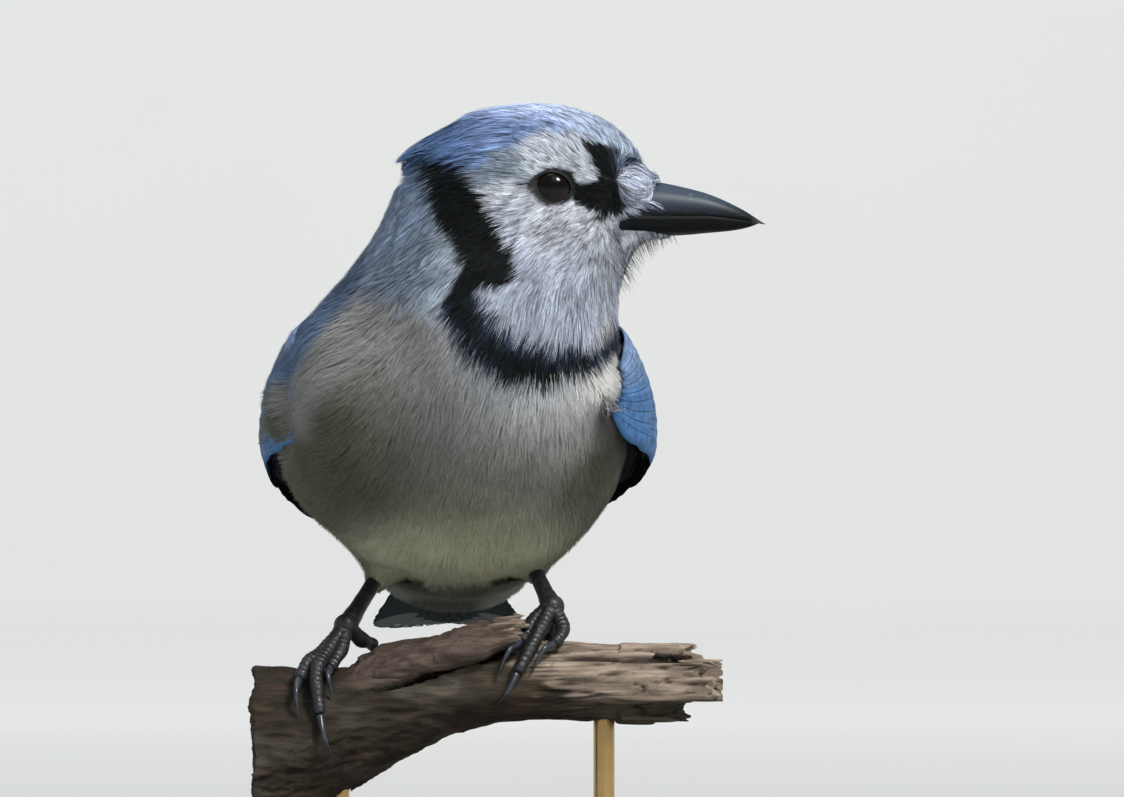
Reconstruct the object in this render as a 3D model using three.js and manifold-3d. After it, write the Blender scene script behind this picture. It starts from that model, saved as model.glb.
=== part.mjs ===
// A blue jay at life size, perched on a cut length of weathered branch that a plain display stand holds.
// Millimetres, +Z up. The breast faces -Y, the head is turned to the bird's left so that the bill points
// along +X, and the tail runs away along +Y. The origin is the centre of the underside of the stand's base.
import * as THREE from "three";
import { mergeVertices } from "three/addons/utils/BufferGeometryUtils.js";
import Module from "manifold-3d";

const wasm = await Module();
wasm.setup();

// Driving dimensions
const GAP = 0.3; // between neighbouring pieces
const GRIP = [-5, -14, 80]; // top of the perch between the feet, from the centre of the base
const BODY_TURN = 3; // degrees that the breast is turned to the bird's left
const TRUNK_PITCH = 31; // degrees that the front of the trunk is raised
const HEAD = [15, -8, 85]; // middle of the skull, from the grip
const EYE_RADIUS = 4.9;
const EYE_AT = [20.2, 8.7, 84.8]; // along the bill, out from the head's midplane, and up from the grip
const BILL_BASE = 30.5;
const BILL_TIP = 60.4;
const GAPE_HEIGHT = 80;
const TAIL_LENGTH = 126;
const TAIL_PITCH = -7;
const BASE_RADII = [74, 62]; // half length and half width of the stand's oval base
const BASE_HEIGHT = 11;
const ROD_RADIUS = 2;

const radians = THREE.MathUtils.degToRad;
const lerp = THREE.MathUtils.lerp;
const smooth = THREE.MathUtils.smoothstep;

// Solids: three.js geometry in, manifold out, and back again
function toSolid(geometry) {
  const bare = geometry.clone();
  bare.deleteAttribute("normal");
  bare.deleteAttribute("uv");
  const merged = mergeVertices(bare, 1e-4);
  return new wasm.Manifold(
    new wasm.Mesh({
      numProp: 3,
      vertProperties: Float32Array.from(merged.attributes.position.array),
      triVerts: Uint32Array.from(merged.index.array),
    }),
  );
}

function toGeometry(solid) {
  const mesh = solid.getMesh();
  const geometry = new THREE.BufferGeometry();
  geometry.setAttribute("position", new THREE.BufferAttribute(mesh.vertProperties, 3));
  geometry.setIndex(new THREE.BufferAttribute(mesh.triVerts, 1));
  geometry.computeVertexNormals();
  return geometry;
}

// The largest body of a cut solid, without the slivers that a cut leaves
function mainBody(solid) {
  return solid.decompose().sort((a, b) => b.volume() - a.volume())[0];
}

// A solid with the rooms of its neighbours taken out of it
const without = (solid, rooms) => rooms.reduce((rest, room) => rest.subtract(room), solid);

// Everything on one side of a plane, as a large block whose face passes through a point
function halfSpace(point, normal) {
  const size = 600;
  const block = new THREE.BoxGeometry(size, size, size);
  block.translate(0, 0, size / 2);
  const turn = new THREE.Quaternion().setFromUnitVectors(
    new THREE.Vector3(0, 0, 1),
    new THREE.Vector3(...normal).normalize(),
  );
  block.applyQuaternion(turn);
  block.translate(...point);
  return toSolid(block);
}

// A plane's point moved along its normal
function shifted(point, normal, distance) {
  const step = new THREE.Vector3(...normal).normalize().multiplyScalar(distance);
  return point.map((value, axis) => value + step.getComponent(axis));
}

// The body's own frame: sideways to the bird's left, back towards the tail, and up
const bodyFrame = new THREE.Matrix4().makeRotationZ(radians(BODY_TURN)).setPosition(2.6, 0, 0);

function bodyPoint(left, back, up) {
  return new THREE.Vector3(left, back, up).applyMatrix4(bodyFrame);
}

// One rounded lobe of the coat: an ellipsoid in the body's frame or in the bird's frame
function lobe(at, size, turn = [0, 0, 0], frame = new THREE.Matrix4()) {
  const place = new THREE.Matrix4()
    .makeRotationFromEuler(new THREE.Euler(...turn.map(radians)))
    .setPosition(...at);
  return { inverse: new THREE.Matrix4().multiplyMatrices(frame, place).invert(), size };
}

function lobeDistance({ inverse, size }, point) {
  const local = point.clone().applyMatrix4(inverse);
  const [x, y, z] = [local.x / size[0], local.y / size[1], local.z / size[2]];
  const reach = Math.hypot(x, y, z);
  const slope = Math.hypot(x / size[0], y / size[1], z / size[2]);
  return slope < 1e-9 ? -Math.min(...size) : (reach * (reach - 1)) / slope;
}

// Distance to lobes that run into each other over a blending width
function blended(lobes, width) {
  return (point) =>
    lobes.reduce((least, one) => {
      const next = lobeDistance(one, point);
      const share = Math.max(width - Math.abs(least - next), 0) / width;
      return Math.min(least, next) - (share * share * width) / 4;
    }, 1e3);
}

// The closed skin of a distance function, grown outwards by an allowance
function skin(distance, box, cell, allowance = 0) {
  const inside = (place) => -distance(new THREE.Vector3(...place));
  return wasm.Manifold.levelSet(inside, box, cell, -allowance, 0.02);
}

// A closed solid through rings that all have the same number of points. Each end is closed by a strip
// between the points that lie across from each other, which also suits a thin curved section.
function loft(rings) {
  const sides = rings[0].length;
  const positions = rings.flat().flatMap((p) => [p.x, p.y, p.z]);
  const index = [];
  for (let r = 0; r < rings.length - 1; r++)
    for (let s = 0; s < sides; s++) {
      const [a, b] = [r * sides + s, r * sides + ((s + 1) % sides)];
      index.push(a, b, b + sides, a, b + sides, a + sides);
    }
  const last = (rings.length - 1) * sides;
  for (let s = 0; s + 1 <= sides - 2 - s; s++) {
    const [a, b, c, d] = [s, s + 1, sides - 2 - s, sides - 1 - s];
    index.push(a, d, b, last + a, last + b, last + d);
    if (b < c) index.push(b, d, c, last + b, last + c, last + d);
  }
  const geometry = new THREE.BufferGeometry();
  geometry.setAttribute("position", new THREE.Float32BufferAttribute(positions, 3));
  geometry.setIndex(index);
  const solid = toSolid(geometry);
  return solid.volume() < 0 ? turnedOut(geometry) : solid;
}

function turnedOut(geometry) {
  const index = Array.from(geometry.index.array);
  for (let n = 0; n < index.length; n += 3) [index[n + 1], index[n + 2]] = [index[n + 2], index[n + 1]];
  geometry.setIndex(index);
  return toSolid(geometry);
}

// A round tube along a smooth line through points, with a radius for each share of its length. The room
// that a neighbour leaves for it is the same tube grown all round, ends included.
function limb(points, radiusAt, rings, sides, grow = 0) {
  const line = new THREE.CatmullRomCurve3(points, false, "centripetal");
  const frames = line.computeFrenetFrames(rings - 1, false);
  return loft(
    Array.from({ length: rings }, (_, r) => {
      const share = r / (rings - 1);
      const overrun = r === 0 ? -grow : r === rings - 1 ? grow : 0;
      const middle = line.getPointAt(share).addScaledVector(line.getTangentAt(share), overrun);
      const radius = radiusAt(share) + grow;
      return Array.from({ length: sides }, (_, s) => {
        const angle = (s / sides) * 2 * Math.PI;
        return middle
          .clone()
          .addScaledVector(frames.normals[r], radius * Math.cos(angle))
          .addScaledVector(frames.binormals[r], radius * Math.sin(angle));
      });
    }),
  );
}

// The coat's form: head, neck and trunk as lobes that run into each other
const skull = (along, out, up) => [HEAD[0] + along, HEAD[1] + out, HEAD[2] + up];
const bothSides = (make) => [make(1), make(-1)];

const headLobes = [
  lobe(skull(0.4, 0, 1.7), [18.2, 12, 14.2]), // cranium
  lobe(skull(11.2, 0, 2), [11.2, 9.4, 9.8], [0, 30, 0]), // forehead
  lobe(skull(-0.5, 0, -7.5), [14.5, 13, 10]), // ear coverts and cheeks
  lobe(skull(12, 0, -5), [10, 8, 7], [0, -6, 0]), // lores and gape
  lobe(skull(21.5, 0, -1.8), [8, 4.6, 3.2], [0, 14, 0]), // nasal bristles
  lobe(skull(8.4, 0, -14), [8.6, 8, 9], [0, 30, 0]), // chin and upper throat
  lobe(skull(-11, 0, 4.4), [9.6, 9, 5], [0, -24, 0]), // back of the crown under the crest
];

const bodyLobes = [
  lobe([1.1, 9, 40.6], [31.4, 44, 27.4], [-TRUNK_PITCH, 0, 0], bodyFrame), // breast and belly
  lobe([-2, -3, 56.5], [24.2, 21, 18], [0, 0, 0], bodyFrame), // shoulders and mantle
  lobe([-21, -3, 42], [12.6, 25, 18.5], [-24, 0, 0], bodyFrame), // right flank, fluffed over the wing
  lobe([5.5, -10, 60], [22.4, 18, 17], [0, 0, 0], bodyFrame), // upper breast
  lobe([0, 46, 28.5], [18, 30, 15], [-16, 0, 0], bodyFrame), // rump
  lobe([1.5, 52, 14.2], [15.5, 34, 8.4], [TAIL_PITCH, 0, -3], bodyFrame), // tail coverts
];

const neckLobes = [
  lobe([8.5, -7, 70], [18, 15, 17]), // middle of the neck
  lobe([0.5, -5, 67], [15, 14, 19], [0, 32, 0]), // nape
  lobe([4.4, -7, 78.6], [13.2, 10.5, 9], [0, 20, 0]), // where the nape meets the skull
  lobe([16.4, -9, 66], [12.8, 13, 17]), // throat
];

const form = blended([...bodyLobes, ...neckLobes, ...headLobes], 7);

// Planes that part the body
const HEAD_CUT = { at: [12, -8, 70.5], normal: [0.34, 0, 0.94] };
const NECK_CUT = { at: [6, -6, 60], normal: [0.2, -0.36, 0.91] };
const RUMP_CUT = { at: bodyPoint(0, 44, 26).toArray(), normal: [0, 0.93, -0.36] };

const above = (cut, by) => halfSpace(shifted(cut.at, cut.normal, by), cut.normal);
const below = (cut, by) =>
  halfSpace(shifted(cut.at, cut.normal, -by), cut.normal.map((value) => -value));

const formBox = { min: [-42, -50, -2], max: [50, 98, 108] };
const headForm = skin(form, formBox, 5.4);
const bodyForm = skin(form, formBox, 7.2);
const bodyRoom = skin(form, formBox, 9, GAP + 0.35).simplify(0.1);

// Eyes
function eyeball(side, radius) {
  const ball = new THREE.SphereGeometry(radius, 12, 8);
  ball.translate(EYE_AT[0], HEAD[1] + side * EYE_AT[1], EYE_AT[2]);
  return toSolid(ball);
}

// The bill: two horny sheaths that meet along the line of the gape
const billShare = (x) => (x - BILL_BASE) / (BILL_TIP - BILL_BASE);
const billHalfWidth = (x) => 0.35 + 5.6 * Math.pow(Math.max(1 - billShare(x), 0), 0.82);
const gapeHeight = (x) => GAPE_HEIGHT - 1.5 * smooth(x, 48, 63);
const culmenRise = (x) => 0.3 + 6.9 * Math.pow(Math.max(1 - Math.pow(billShare(x), 1.65), 0), 0.95);
const chinDrop = (x) => 0.2 + 3.6 * Math.pow(Math.max(1 - Math.pow(billShare(x) * 1.04, 4), 0), 0.9);

function sheath(end, upper, grow = 0) {
  const rings = 9;
  const sides = 11;
  const start = BILL_BASE - grow;
  return loft(
    Array.from({ length: rings }, (_, r) => {
      const x = lerp(start, end + grow, Math.pow(r / (rings - 1), 0.85));
      const at = THREE.MathUtils.clamp(x, BILL_BASE, end);
      const out = upper ? 1 : -1;
      const rise = out * ((upper ? culmenRise(at) : chinDrop(at)) + 2 * grow);
      const seam = gapeHeight(at) + out * (GAP / 2 - grow);
      return Array.from({ length: sides }, (_, s) => {
        const angle = (s / (sides - 1)) * Math.PI;
        return new THREE.Vector3(
          x,
          HEAD[1] + (billHalfWidth(at) + grow) * Math.cos(angle),
          seam + rise * Math.pow(Math.sin(angle), upper ? 0.85 : 0.6),
        );
      });
    }),
  );
}

// The crest, laid flat over the back of the crown and ending in a point behind it
function crestSolid(grow = 0, headroom = 0) {
  const line = new THREE.CatmullRomCurve3([
    new THREE.Vector3(17, HEAD[1], 99.8),
    new THREE.Vector3(7, HEAD[1], 97.9),
    new THREE.Vector3(-1.5, HEAD[1], 93.9),
    new THREE.Vector3(-9.2, HEAD[1], 89.8),
  ]);
  const rings = 8;
  const sides = 12;
  return loft(
    Array.from({ length: rings }, (_, r) => {
      const share = r / (rings - 1);
      const forward = line.getTangentAt(share);
      const overrun = r === 0 ? -grow : r === rings - 1 ? grow : 0;
      const middle = line.getPointAt(share).addScaledVector(forward, overrun);
      const up = new THREE.Vector3(0, 1, 0).cross(forward).normalize();
      if (up.z < 0) up.negate();
      const width = 0.7 + grow + 9.6 * Math.pow(Math.sin(Math.PI * lerp(0.22, 0.99, share)), 1.1);
      const height = grow + lerp(1.7, 0.5, smooth(share, 0.4, 1));
      return Array.from({ length: sides }, (_, s) => {
        const angle = (s / sides) * 2 * Math.PI;
        const out = width * Math.cos(angle);
        const droop = (out * out) / 22;
        const rise = height * Math.sin(angle) + headroom * Math.max(Math.sin(angle), 0);
        return middle
          .clone()
          .addScaledVector(new THREE.Vector3(0, 1, 0), out)
          .addScaledVector(up, rise - droop);
      });
    }),
  );
}

// Folded wings: curved shells that lie around the body's side. At each distance back along the body the
// section follows an ellipse, from a lower edge to an upper one, both as angles from the horizontal.
const WING_TIP = 101;
const WING_SLOPE = 1.15; // how much flatter than an ellipse the section runs in towards the back
const wingHalfWidth = (back) =>
  back < 3 ? 37.6 - 13 * Math.pow((3 - back) / 24, 2) : 37.6 - 29.6 * smooth(back, -3, 118);
const wingMiddle = (back) => 39.5 - 0.27 * back - 4.6 * smooth(back, 66, 101);
const wingRise = (back) =>
  back < 0 ? 36 - 8 * Math.pow(back / 21, 2) : 36 - 28 * smooth(back, 4, 114);

const wingParts = {
  coverts: {
    from: -21,
    to: 42,
    lower: (back) => -6 * smooth(back, -23, -10),
    upper: (back) => lerp(4, 66, smooth(back, -30, 34)),
    thick: 2.3,
  },
  secondaries: {
    from: 42.4,
    to: 80,
    lower: (back) => lerp(12.5, 26.7, smooth(back, 42, 80)),
    upper: (back) => lerp(38, 70, 1 - Math.pow(Math.max(back - 48, 0) / 33, 2.2)),
    thick: 2,
  },
  primaries: {
    from: 42.4,
    to: WING_TIP,
    lower: (back) => -6 - 3 * smooth(back, 42, 62) + 36 * smooth(back, 70, 108),
    upper: (back) => lerp(11, 25, smooth(back, 42, 80)) + 24 * smooth(back, 80, 98),
    thick: 1.6,
  },
};

function wingSolid(side, { from, to, lower, upper, thick }) {
  const rings = Math.round((to - from) / 7) + 2;
  const half = 6;
  return loft(
    Array.from({ length: rings }, (_, r) => {
      const share = r / (rings - 1);
      const back = lerp(from, to, share);
      const place = (angle, inward) =>
        bodyPoint(
          side * (wingHalfWidth(back) - inward) * Math.pow(Math.cos(radians(angle)), WING_SLOPE),
          back,
          wingMiddle(back) + (wingRise(back) - inward) * Math.sin(radians(angle)),
        );
      const angleAt = (s) => lerp(lower(back), upper(back), s / (half - 1));
      const depthAt = (s) => thick * lerp(0.5, 1, Math.sin((Math.PI * s) / (half - 1)));
      const steps = Array.from({ length: half }, (_, s) => s);
      return [
        ...steps.map((s) => place(angleAt(s), 0)),
        ...steps.toReversed().map((s) => place(angleAt(s), depthAt(s))),
      ];
    }),
  );
}

// The tail: twelve feathers closed into a low roof with a rounded end
function tailSolid(grow = 0) {
  const rings = 12;
  const half = 7;
  const frame = new THREE.Matrix4().makeRotationX(radians(TAIL_PITCH)).setPosition(-0.5, 50, 15);
  return loft(
    Array.from({ length: rings }, (_, r) => {
      const share = r / (rings - 1);
      const back = lerp(28 - grow, TAIL_LENGTH + grow, 1 - Math.pow(1 - share, 1.6));
      const round = Math.max(back - (TAIL_LENGTH - 17), 0) / 17.2;
      const end = Math.sqrt(Math.max(1 - round * round, 0.02));
      const width = lerp(11, 16.5, smooth(back, 20, 110)) * end + grow;
      const thick = lerp(1.5, 0.9, share) + grow;
      const top = Array.from({ length: half }, (_, s) => {
        const out = lerp(1, -1, s / (half - 1));
        return [out * width, thick - 2.6 * out * out];
      });
      const under = Array.from({ length: half }, (_, s) => {
        const out = lerp(-1, 1, s / (half - 1));
        return [out * width * 0.98, -thick * 0.55 - 2.6 * out * out];
      });
      return [...top, ...under].map(([left, up]) =>
        new THREE.Vector3(left, back, up).applyMatrix4(frame),
      );
    }),
  );
}

// The perch: its middle line falls and it thickens towards the cut end
const PERCH_ENDS = [-36, 52.4];
const towardsTrunk = (x) => Math.max(12 - x, 0) / 46.5;
const perchMiddle = (x) => -8.1 - 15.9 * Math.pow(towardsTrunk(x), 1.45);
const perchRadius = (x) => 7.5 + 10.5 * Math.pow(towardsTrunk(x), 2);
const perchDepth = (x) => 7.6 + 6 * Math.pow(towardsTrunk(x), 2);

function perchSolid() {
  const rings = 16;
  const sides = 16;
  return loft(
    Array.from({ length: rings }, (_, r) => {
      const x = lerp(PERCH_ENDS[0], PERCH_ENDS[1] - 2, r / (rings - 1));
      const broken = smooth(x, 38, 50);
      const wear = lerp(1, 0.9, broken);
      return Array.from({ length: sides }, (_, s) => {
        const angle = (s / sides) * 2 * Math.PI;
        const knobs = 1 + 0.04 * Math.sin(3 * angle + x * 0.11) + 0.03 * Math.sin(5 * angle - x * 0.23);
        const y = -Math.sin(angle) * perchDepth(x) * knobs * wear;
        const up = Math.cos(angle) * perchRadius(x) * knobs * wear;
        const fallsShort = (up > 0 ? 0.06 : 0.12) * up * up;
        const splinter = 1.6 * Math.sin(4 * angle + 0.8) - fallsShort;
        return new THREE.Vector3(x + broken * splinter, y, perchMiddle(x) + up);
      });
    }),
  );
}

// The layer of wood that has split away from the top between the feet and ends in a broken stub
function splitLayer() {
  const rings = 9;
  return loft(
    Array.from({ length: rings }, (_, r) => {
      const share = r / (rings - 1);
      const x = lerp(-20, 13.6, share);
      const top = lerp(-7, 4.4, Math.pow(share, 0.52)) + 0.7 * Math.sin(9 * share);
      const hem = lerp(-10, -0.4, share);
      const reach = lerp(4, 8.2, Math.sin(Math.PI * Math.min(share, 0.62)));
      return [
        [-reach, hem],
        [-reach - 1.2, hem + 1.6],
        [-reach * 0.75, top - 1.2],
        [-reach * 0.2, top],
        [reach * 0.5, top - 0.6],
        [reach * 0.9, top - 2.6],
        [reach * 0.8, hem - 1],
        [0, hem - 3],
      ].map(([y, z]) => new THREE.Vector3(x, y, Math.min(z, top)));
    }),
  );
}

// A place on the perch's surface, at an angle from its top towards the breast, and lifted off it
function onPerch(x, angle, lift) {
  return new THREE.Vector3(
    x,
    -Math.sin(radians(angle)) * (perchDepth(x) + lift),
    perchMiddle(x) + Math.cos(radians(angle)) * (perchRadius(x) + lift),
  );
}

// Feet: each digit leaves the ball of the foot, arches, and lies on the perch. A joint is [x, angle, lift].
const feet = {
  right: {
    ball: [-18.6, 0.5, 2.6],
    heel: [-6.5, 22, 22],
    digits: {
      middle: {
        joints: [[-21.6, 9, 3.8], [-24, 32, 2.3], [-24, 52, 1.7], [-23.4, 71, 1.5]],
        claw: [[-22.6, 88, 2.8], [-21.3, 107, 0.4]],
      },
      outer: {
        joints: [[-22.4, 4, 3.4], [-25.8, 21, 2.2], [-27.4, 37, 1.5]],
        claw: [[-27.9, 51, 2.4], [-27.4, 66, 0.4]],
      },
      inner: {
        joints: [[-19.8, 12, 3], [-21.6, 29, 1.6]],
        claw: [[-21.9, 44, 2.6], [-21, 58, 0.4]],
      },
      hind: {
        joints: [[-16, -10, 4.8], [-13.4, -27, 4.6]],
        claw: [[-12.8, -50, 5], [-12.6, -76, 1.2]],
      },
    },
  },
  left: {
    ball: [20.2, 0.5, 6.2],
    heel: [12.5, 22, 22],
    digits: {
      middle: {
        joints: [[18.8, 10, 4.4], [15.8, 50, 1.7], [13.6, 77, 1.5]],
        claw: [[11.8, 98, 2.8], [9.4, 121, 0.4]],
      },
      outer: {
        joints: [[22.2, 14, 2.8], [20.6, 36, 1.5]],
        claw: [[18.6, 52, 2.8], [16.2, 77, 0.4]],
      },
      inner: {
        joints: [[17.2, 4, 4.6], [14.4, 33, 1.6]],
        claw: [[12, 55, 3], [9.8, 84, 0.4]],
      },
      hind: {
        joints: [[19.6, -22, 3.2], [19, -54, 1.5]],
        claw: [[18.4, -84, 2.8], [17.6, -112, 0.4]],
      },
    },
  },
};

function digitPoints(foot, name) {
  const { joints } = foot.digits[name];
  return [new THREE.Vector3(...foot.ball), ...joints.map((joint) => onPerch(...joint))];
}

function digitSolid(foot, name, grow = 0) {
  const points = digitPoints(foot, name);
  const knuckles = points.length - 1;
  const radiusAt = (share) =>
    lerp(2, 1.2, Math.sqrt(share)) + 0.16 * Math.cos(2 * Math.PI * knuckles * share);
  return limb(points, radiusAt, 3 + knuckles * 2, 6, grow);
}

function clawSolid(foot, name, grow = 0) {
  const toe = digitPoints(foot, name);
  const points = [toe.at(-1), ...foot.digits[name].claw.map((place) => onPerch(...place))];
  return limb(points, (share) => lerp(1.05, 0.18, Math.pow(share, 0.9)), 6, 6, grow);
}

function ballSolid(foot, grow = 0) {
  const pad = new THREE.IcosahedronGeometry(1, 1);
  pad.scale(2.5 + grow, 2.6 + grow, 2.2 + grow);
  pad.translate(...foot.ball);
  return toSolid(pad);
}

function tarsusSolid(foot) {
  const ball = new THREE.Vector3(...foot.ball);
  const heel = new THREE.Vector3(...foot.heel);
  return limb([ball, ball.clone().lerp(heel, 0.5), heel], (share) => lerp(1.55, 1.4, share), 4, 8);
}

function thighSolid(foot, grow = 0) {
  const ball = new THREE.Vector3(...foot.ball);
  const heel = new THREE.Vector3(...foot.heel);
  const knee = heel.clone().add(new THREE.Vector3(0, -4, 12));
  const hem = ball.clone().lerp(heel, 0.36);
  return limb([knee, heel, hem], (share) => lerp(9, 3, share), 6, 10, grow);
}

// The stand: an oval base with a bevelled edge, and two rods let into it and into the perch
const RODS = [-20, 30];
const floorLevel = -GRIP[2];
const baseMiddle = [-GRIP[0], -GRIP[1]];

function baseSolid() {
  const bevel = 2.2;
  const profile = [
    new THREE.Vector2(0, 0),
    new THREE.Vector2(1 - 0.012, 0),
    new THREE.Vector2(1, 1),
    new THREE.Vector2(1, BASE_HEIGHT - bevel),
    new THREE.Vector2(1 - 0.035, BASE_HEIGHT),
    new THREE.Vector2(0, BASE_HEIGHT),
  ];
  const base = new THREE.LatheGeometry(profile, 32);
  base.rotateX(Math.PI / 2);
  base.scale(BASE_RADII[0], BASE_RADII[1], 1);
  base.translate(baseMiddle[0], baseMiddle[1], floorLevel);
  return toSolid(base);
}

function rodSolid(x, grow = 0) {
  const foot = floorLevel + BASE_HEIGHT - 5 - grow;
  const head = perchMiddle(x) - perchRadius(x) + 5 + grow;
  const rod = new THREE.CylinderGeometry(ROD_RADIUS + grow, ROD_RADIUS + grow, head - foot, 12);
  rod.rotateX(Math.PI / 2);
  rod.translate(x, 0, (head + foot) / 2);
  return toSolid(rod);
}

// Materials
const material = (color, roughness, metalness = 0) =>
  new THREE.MeshStandardMaterial({ color, roughness, metalness });
const finish = {
  face: material(0xd9dde4, 0.85),
  nape: material(0x7d8aa8, 0.85),
  breast: material(0xa5a096, 0.88),
  crest: material(0x5f78b8, 0.75),
  wing: material(0x2f6fb4, 0.6),
  rump: material(0x6f86b8, 0.8),
  tail: material(0x3572b5, 0.6),
  bill: material(0x24272a, 0.4),
  eye: material(0x1a0f0a, 0.08),
  leg: material(0x1d1c20, 0.5),
  claw: material(0x25262b, 0.35),
  wood: material(0x7a6654, 0.85),
  base: material(0x3a2a20, 0.45),
  rod: material(0xb08d57, 0.3, 1),
};

const bird = new THREE.Group();
bird.position.set(...GRIP);

function addPiece(name, solid, look, coarseness = 0.05) {
  const mesh = new THREE.Mesh(toGeometry(solid.simplify(coarseness)), look);
  mesh.name = name;
  bird.add(mesh);
}

// Head
const eyes = bothSides((side) => ({
  name: side > 0 ? "left" : "right",
  ball: eyeball(side, EYE_RADIUS),
  socket: eyeball(side, EYE_RADIUS + GAP + 0.15),
}));
const billUpper = sheath(BILL_TIP, true);
const billLower = sheath(BILL_TIP - 1, false);
const billRoom = sheath(BILL_TIP, true, GAP + 0.1).add(sheath(BILL_TIP - 1, false, GAP + 0.1));

const headRooms = [billRoom, crestSolid(GAP + 0.25, 6), ...eyes.map(({ socket }) => socket)];
const head = without(headForm.intersect(above(HEAD_CUT, GAP / 2)), headRooms);
addPiece("head", mainBody(head), finish.face, 0.15);
addPiece("crest", crestSolid(), finish.crest);
addPiece("bill_upper", billUpper, finish.bill);
addPiece("bill_lower", billLower, finish.bill);
for (const { name, ball } of eyes) addPiece(`eye_${name}`, ball, finish.eye, 0.02);

// Neck, trunk and rump
const tail = tailSolid();
const tailRoom = tailSolid(GAP + 0.5);
addPiece(
  "neck",
  mainBody(bodyForm.intersect(below(HEAD_CUT, GAP / 2)).intersect(above(NECK_CUT, GAP / 2))),
  finish.nape,
  0.21,
);
addPiece(
  "trunk",
  mainBody(bodyForm.intersect(below(NECK_CUT, GAP / 2)).intersect(below(RUMP_CUT, GAP / 2))),
  finish.breast,
  0.25,
);
addPiece(
  "rump",
  mainBody(bodyForm.intersect(above(RUMP_CUT, GAP / 2)).subtract(tailRoom)),
  finish.rump,
  0.24,
);
addPiece("tail", tail, finish.tail);

// Wings
for (const side of [1, -1])
  for (const [name, shape] of Object.entries(wingParts))
    addPiece(
      `wing_${side > 0 ? "left" : "right"}_${name}`,
      mainBody(wingSolid(side, shape).subtract(bodyRoom).subtract(tailRoom)),
      finish.wing,
      0.11,
    );

// Legs and feet. Where digits lie side by side, each gives way to those that are placed before it.
const footRooms = [];
for (const [side, foot] of Object.entries(feet)) {
  const rooms = [ballSolid(foot, GAP)];
  addPiece(`thigh_${side}`, mainBody(thighSolid(foot).subtract(bodyRoom)), finish.breast);
  addPiece(
    `tarsus_${side}`,
    mainBody(without(tarsusSolid(foot), [thighSolid(foot, GAP), ballSolid(foot, GAP), bodyRoom])),
    finish.leg,
  );
  addPiece(`foot_${side}`, ballSolid(foot), finish.leg);
  for (const name of Object.keys(foot.digits)) {
    addPiece(`toe_${side}_${name}`, mainBody(without(digitSolid(foot, name), rooms)), finish.leg);
    rooms.push(digitSolid(foot, name, GAP));
    addPiece(`claw_${side}_${name}`, mainBody(without(clawSolid(foot, name), rooms)), finish.claw);
    rooms.push(clawSolid(foot, name, GAP));
  }
  footRooms.push(...rooms);
}

// Perch and stand
const rodRooms = RODS.map((x) => rodSolid(x, GAP));
const perch = without(perchSolid().add(splitLayer()), [...footRooms, ...rodRooms]);
addPiece("perch", mainBody(perch), finish.wood, 0.2);
addPiece("stand_base", without(baseSolid(), rodRooms), finish.base);
RODS.forEach((x, n) => addPiece(`stand_rod_${n + 1}`, rodSolid(x), finish.rod));

const part = new THREE.Group();
part.add(bird);
export default part;
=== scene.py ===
# A blue jay at life size, on a cut length of branch held by a plain display stand. This file gives the
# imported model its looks: skin, plumage, flight feathers, bill, eyes, feet, perch, stand, floor and light.
# Lengths are millimetres from the grip, the top of the perch between the feet, until a mesh is made.
import math

import bpy
import numpy as np
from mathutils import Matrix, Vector
from mathutils.bvhtree import BVHTree
from mathutils.kdtree import KDTree


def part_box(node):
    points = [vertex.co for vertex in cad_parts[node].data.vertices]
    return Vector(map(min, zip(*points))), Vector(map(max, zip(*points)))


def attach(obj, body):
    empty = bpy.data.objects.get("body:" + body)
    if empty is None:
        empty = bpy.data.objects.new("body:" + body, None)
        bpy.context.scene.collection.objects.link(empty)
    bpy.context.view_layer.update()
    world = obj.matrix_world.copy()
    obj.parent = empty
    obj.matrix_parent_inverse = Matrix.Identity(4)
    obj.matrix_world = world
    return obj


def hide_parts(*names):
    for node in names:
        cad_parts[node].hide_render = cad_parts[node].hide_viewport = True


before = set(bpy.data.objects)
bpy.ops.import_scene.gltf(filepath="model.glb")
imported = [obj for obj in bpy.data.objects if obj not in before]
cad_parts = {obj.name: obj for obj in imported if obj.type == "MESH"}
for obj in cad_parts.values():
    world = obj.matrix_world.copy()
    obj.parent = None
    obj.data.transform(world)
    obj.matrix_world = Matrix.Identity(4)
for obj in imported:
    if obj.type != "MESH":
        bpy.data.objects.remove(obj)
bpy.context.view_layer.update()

MM = 0.001
GRIP = np.array((-5.0, -14.0, 80.0))  # the grip, from the centre of the stand's underside
HEAD_PLANE = -8.0  # the head is alike on both sides of this y
BODY_TURN = math.radians(3)  # the breast is turned to the bird's left
BODY_SHIFT = 2.6  # how far the body's middle lies from the grip, along x
EYE = np.array((20.2, 8.7, 84.8))  # along the bill, out from the head's middle, and up
EYE_RADIUS = 4.9
EYE_OPENING = (4.45, 3.45)  # half length and half height, lids included


def metres(points):
    return (np.asarray(points, float) + GRIP) * MM


def millimetres(points):
    return np.asarray(points, float) / MM - GRIP


def lerp(a, b, share):
    return a + (b - a) * share


def smooth(value, low, high):
    share = np.clip((value - low) / (high - low), 0, 1)
    return share * share * (3 - 2 * share)


def unit(vectors):
    return vectors / np.maximum(np.linalg.norm(vectors, axis=-1, keepdims=True), 1e-9)


def dot(a, b):
    return np.sum(a * b, axis=-1, keepdims=True)


def stack(*parts):
    return np.stack(np.broadcast_arrays(*parts), axis=-1)


def body_point(left, back, up):
    """A place in the body's own frame, which is turned with the breast, from the grip"""
    x = left * math.cos(BODY_TURN) - back * math.sin(BODY_TURN) + BODY_SHIFT
    y = left * math.sin(BODY_TURN) + back * math.cos(BODY_TURN)
    return stack(x, y, up)


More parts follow.
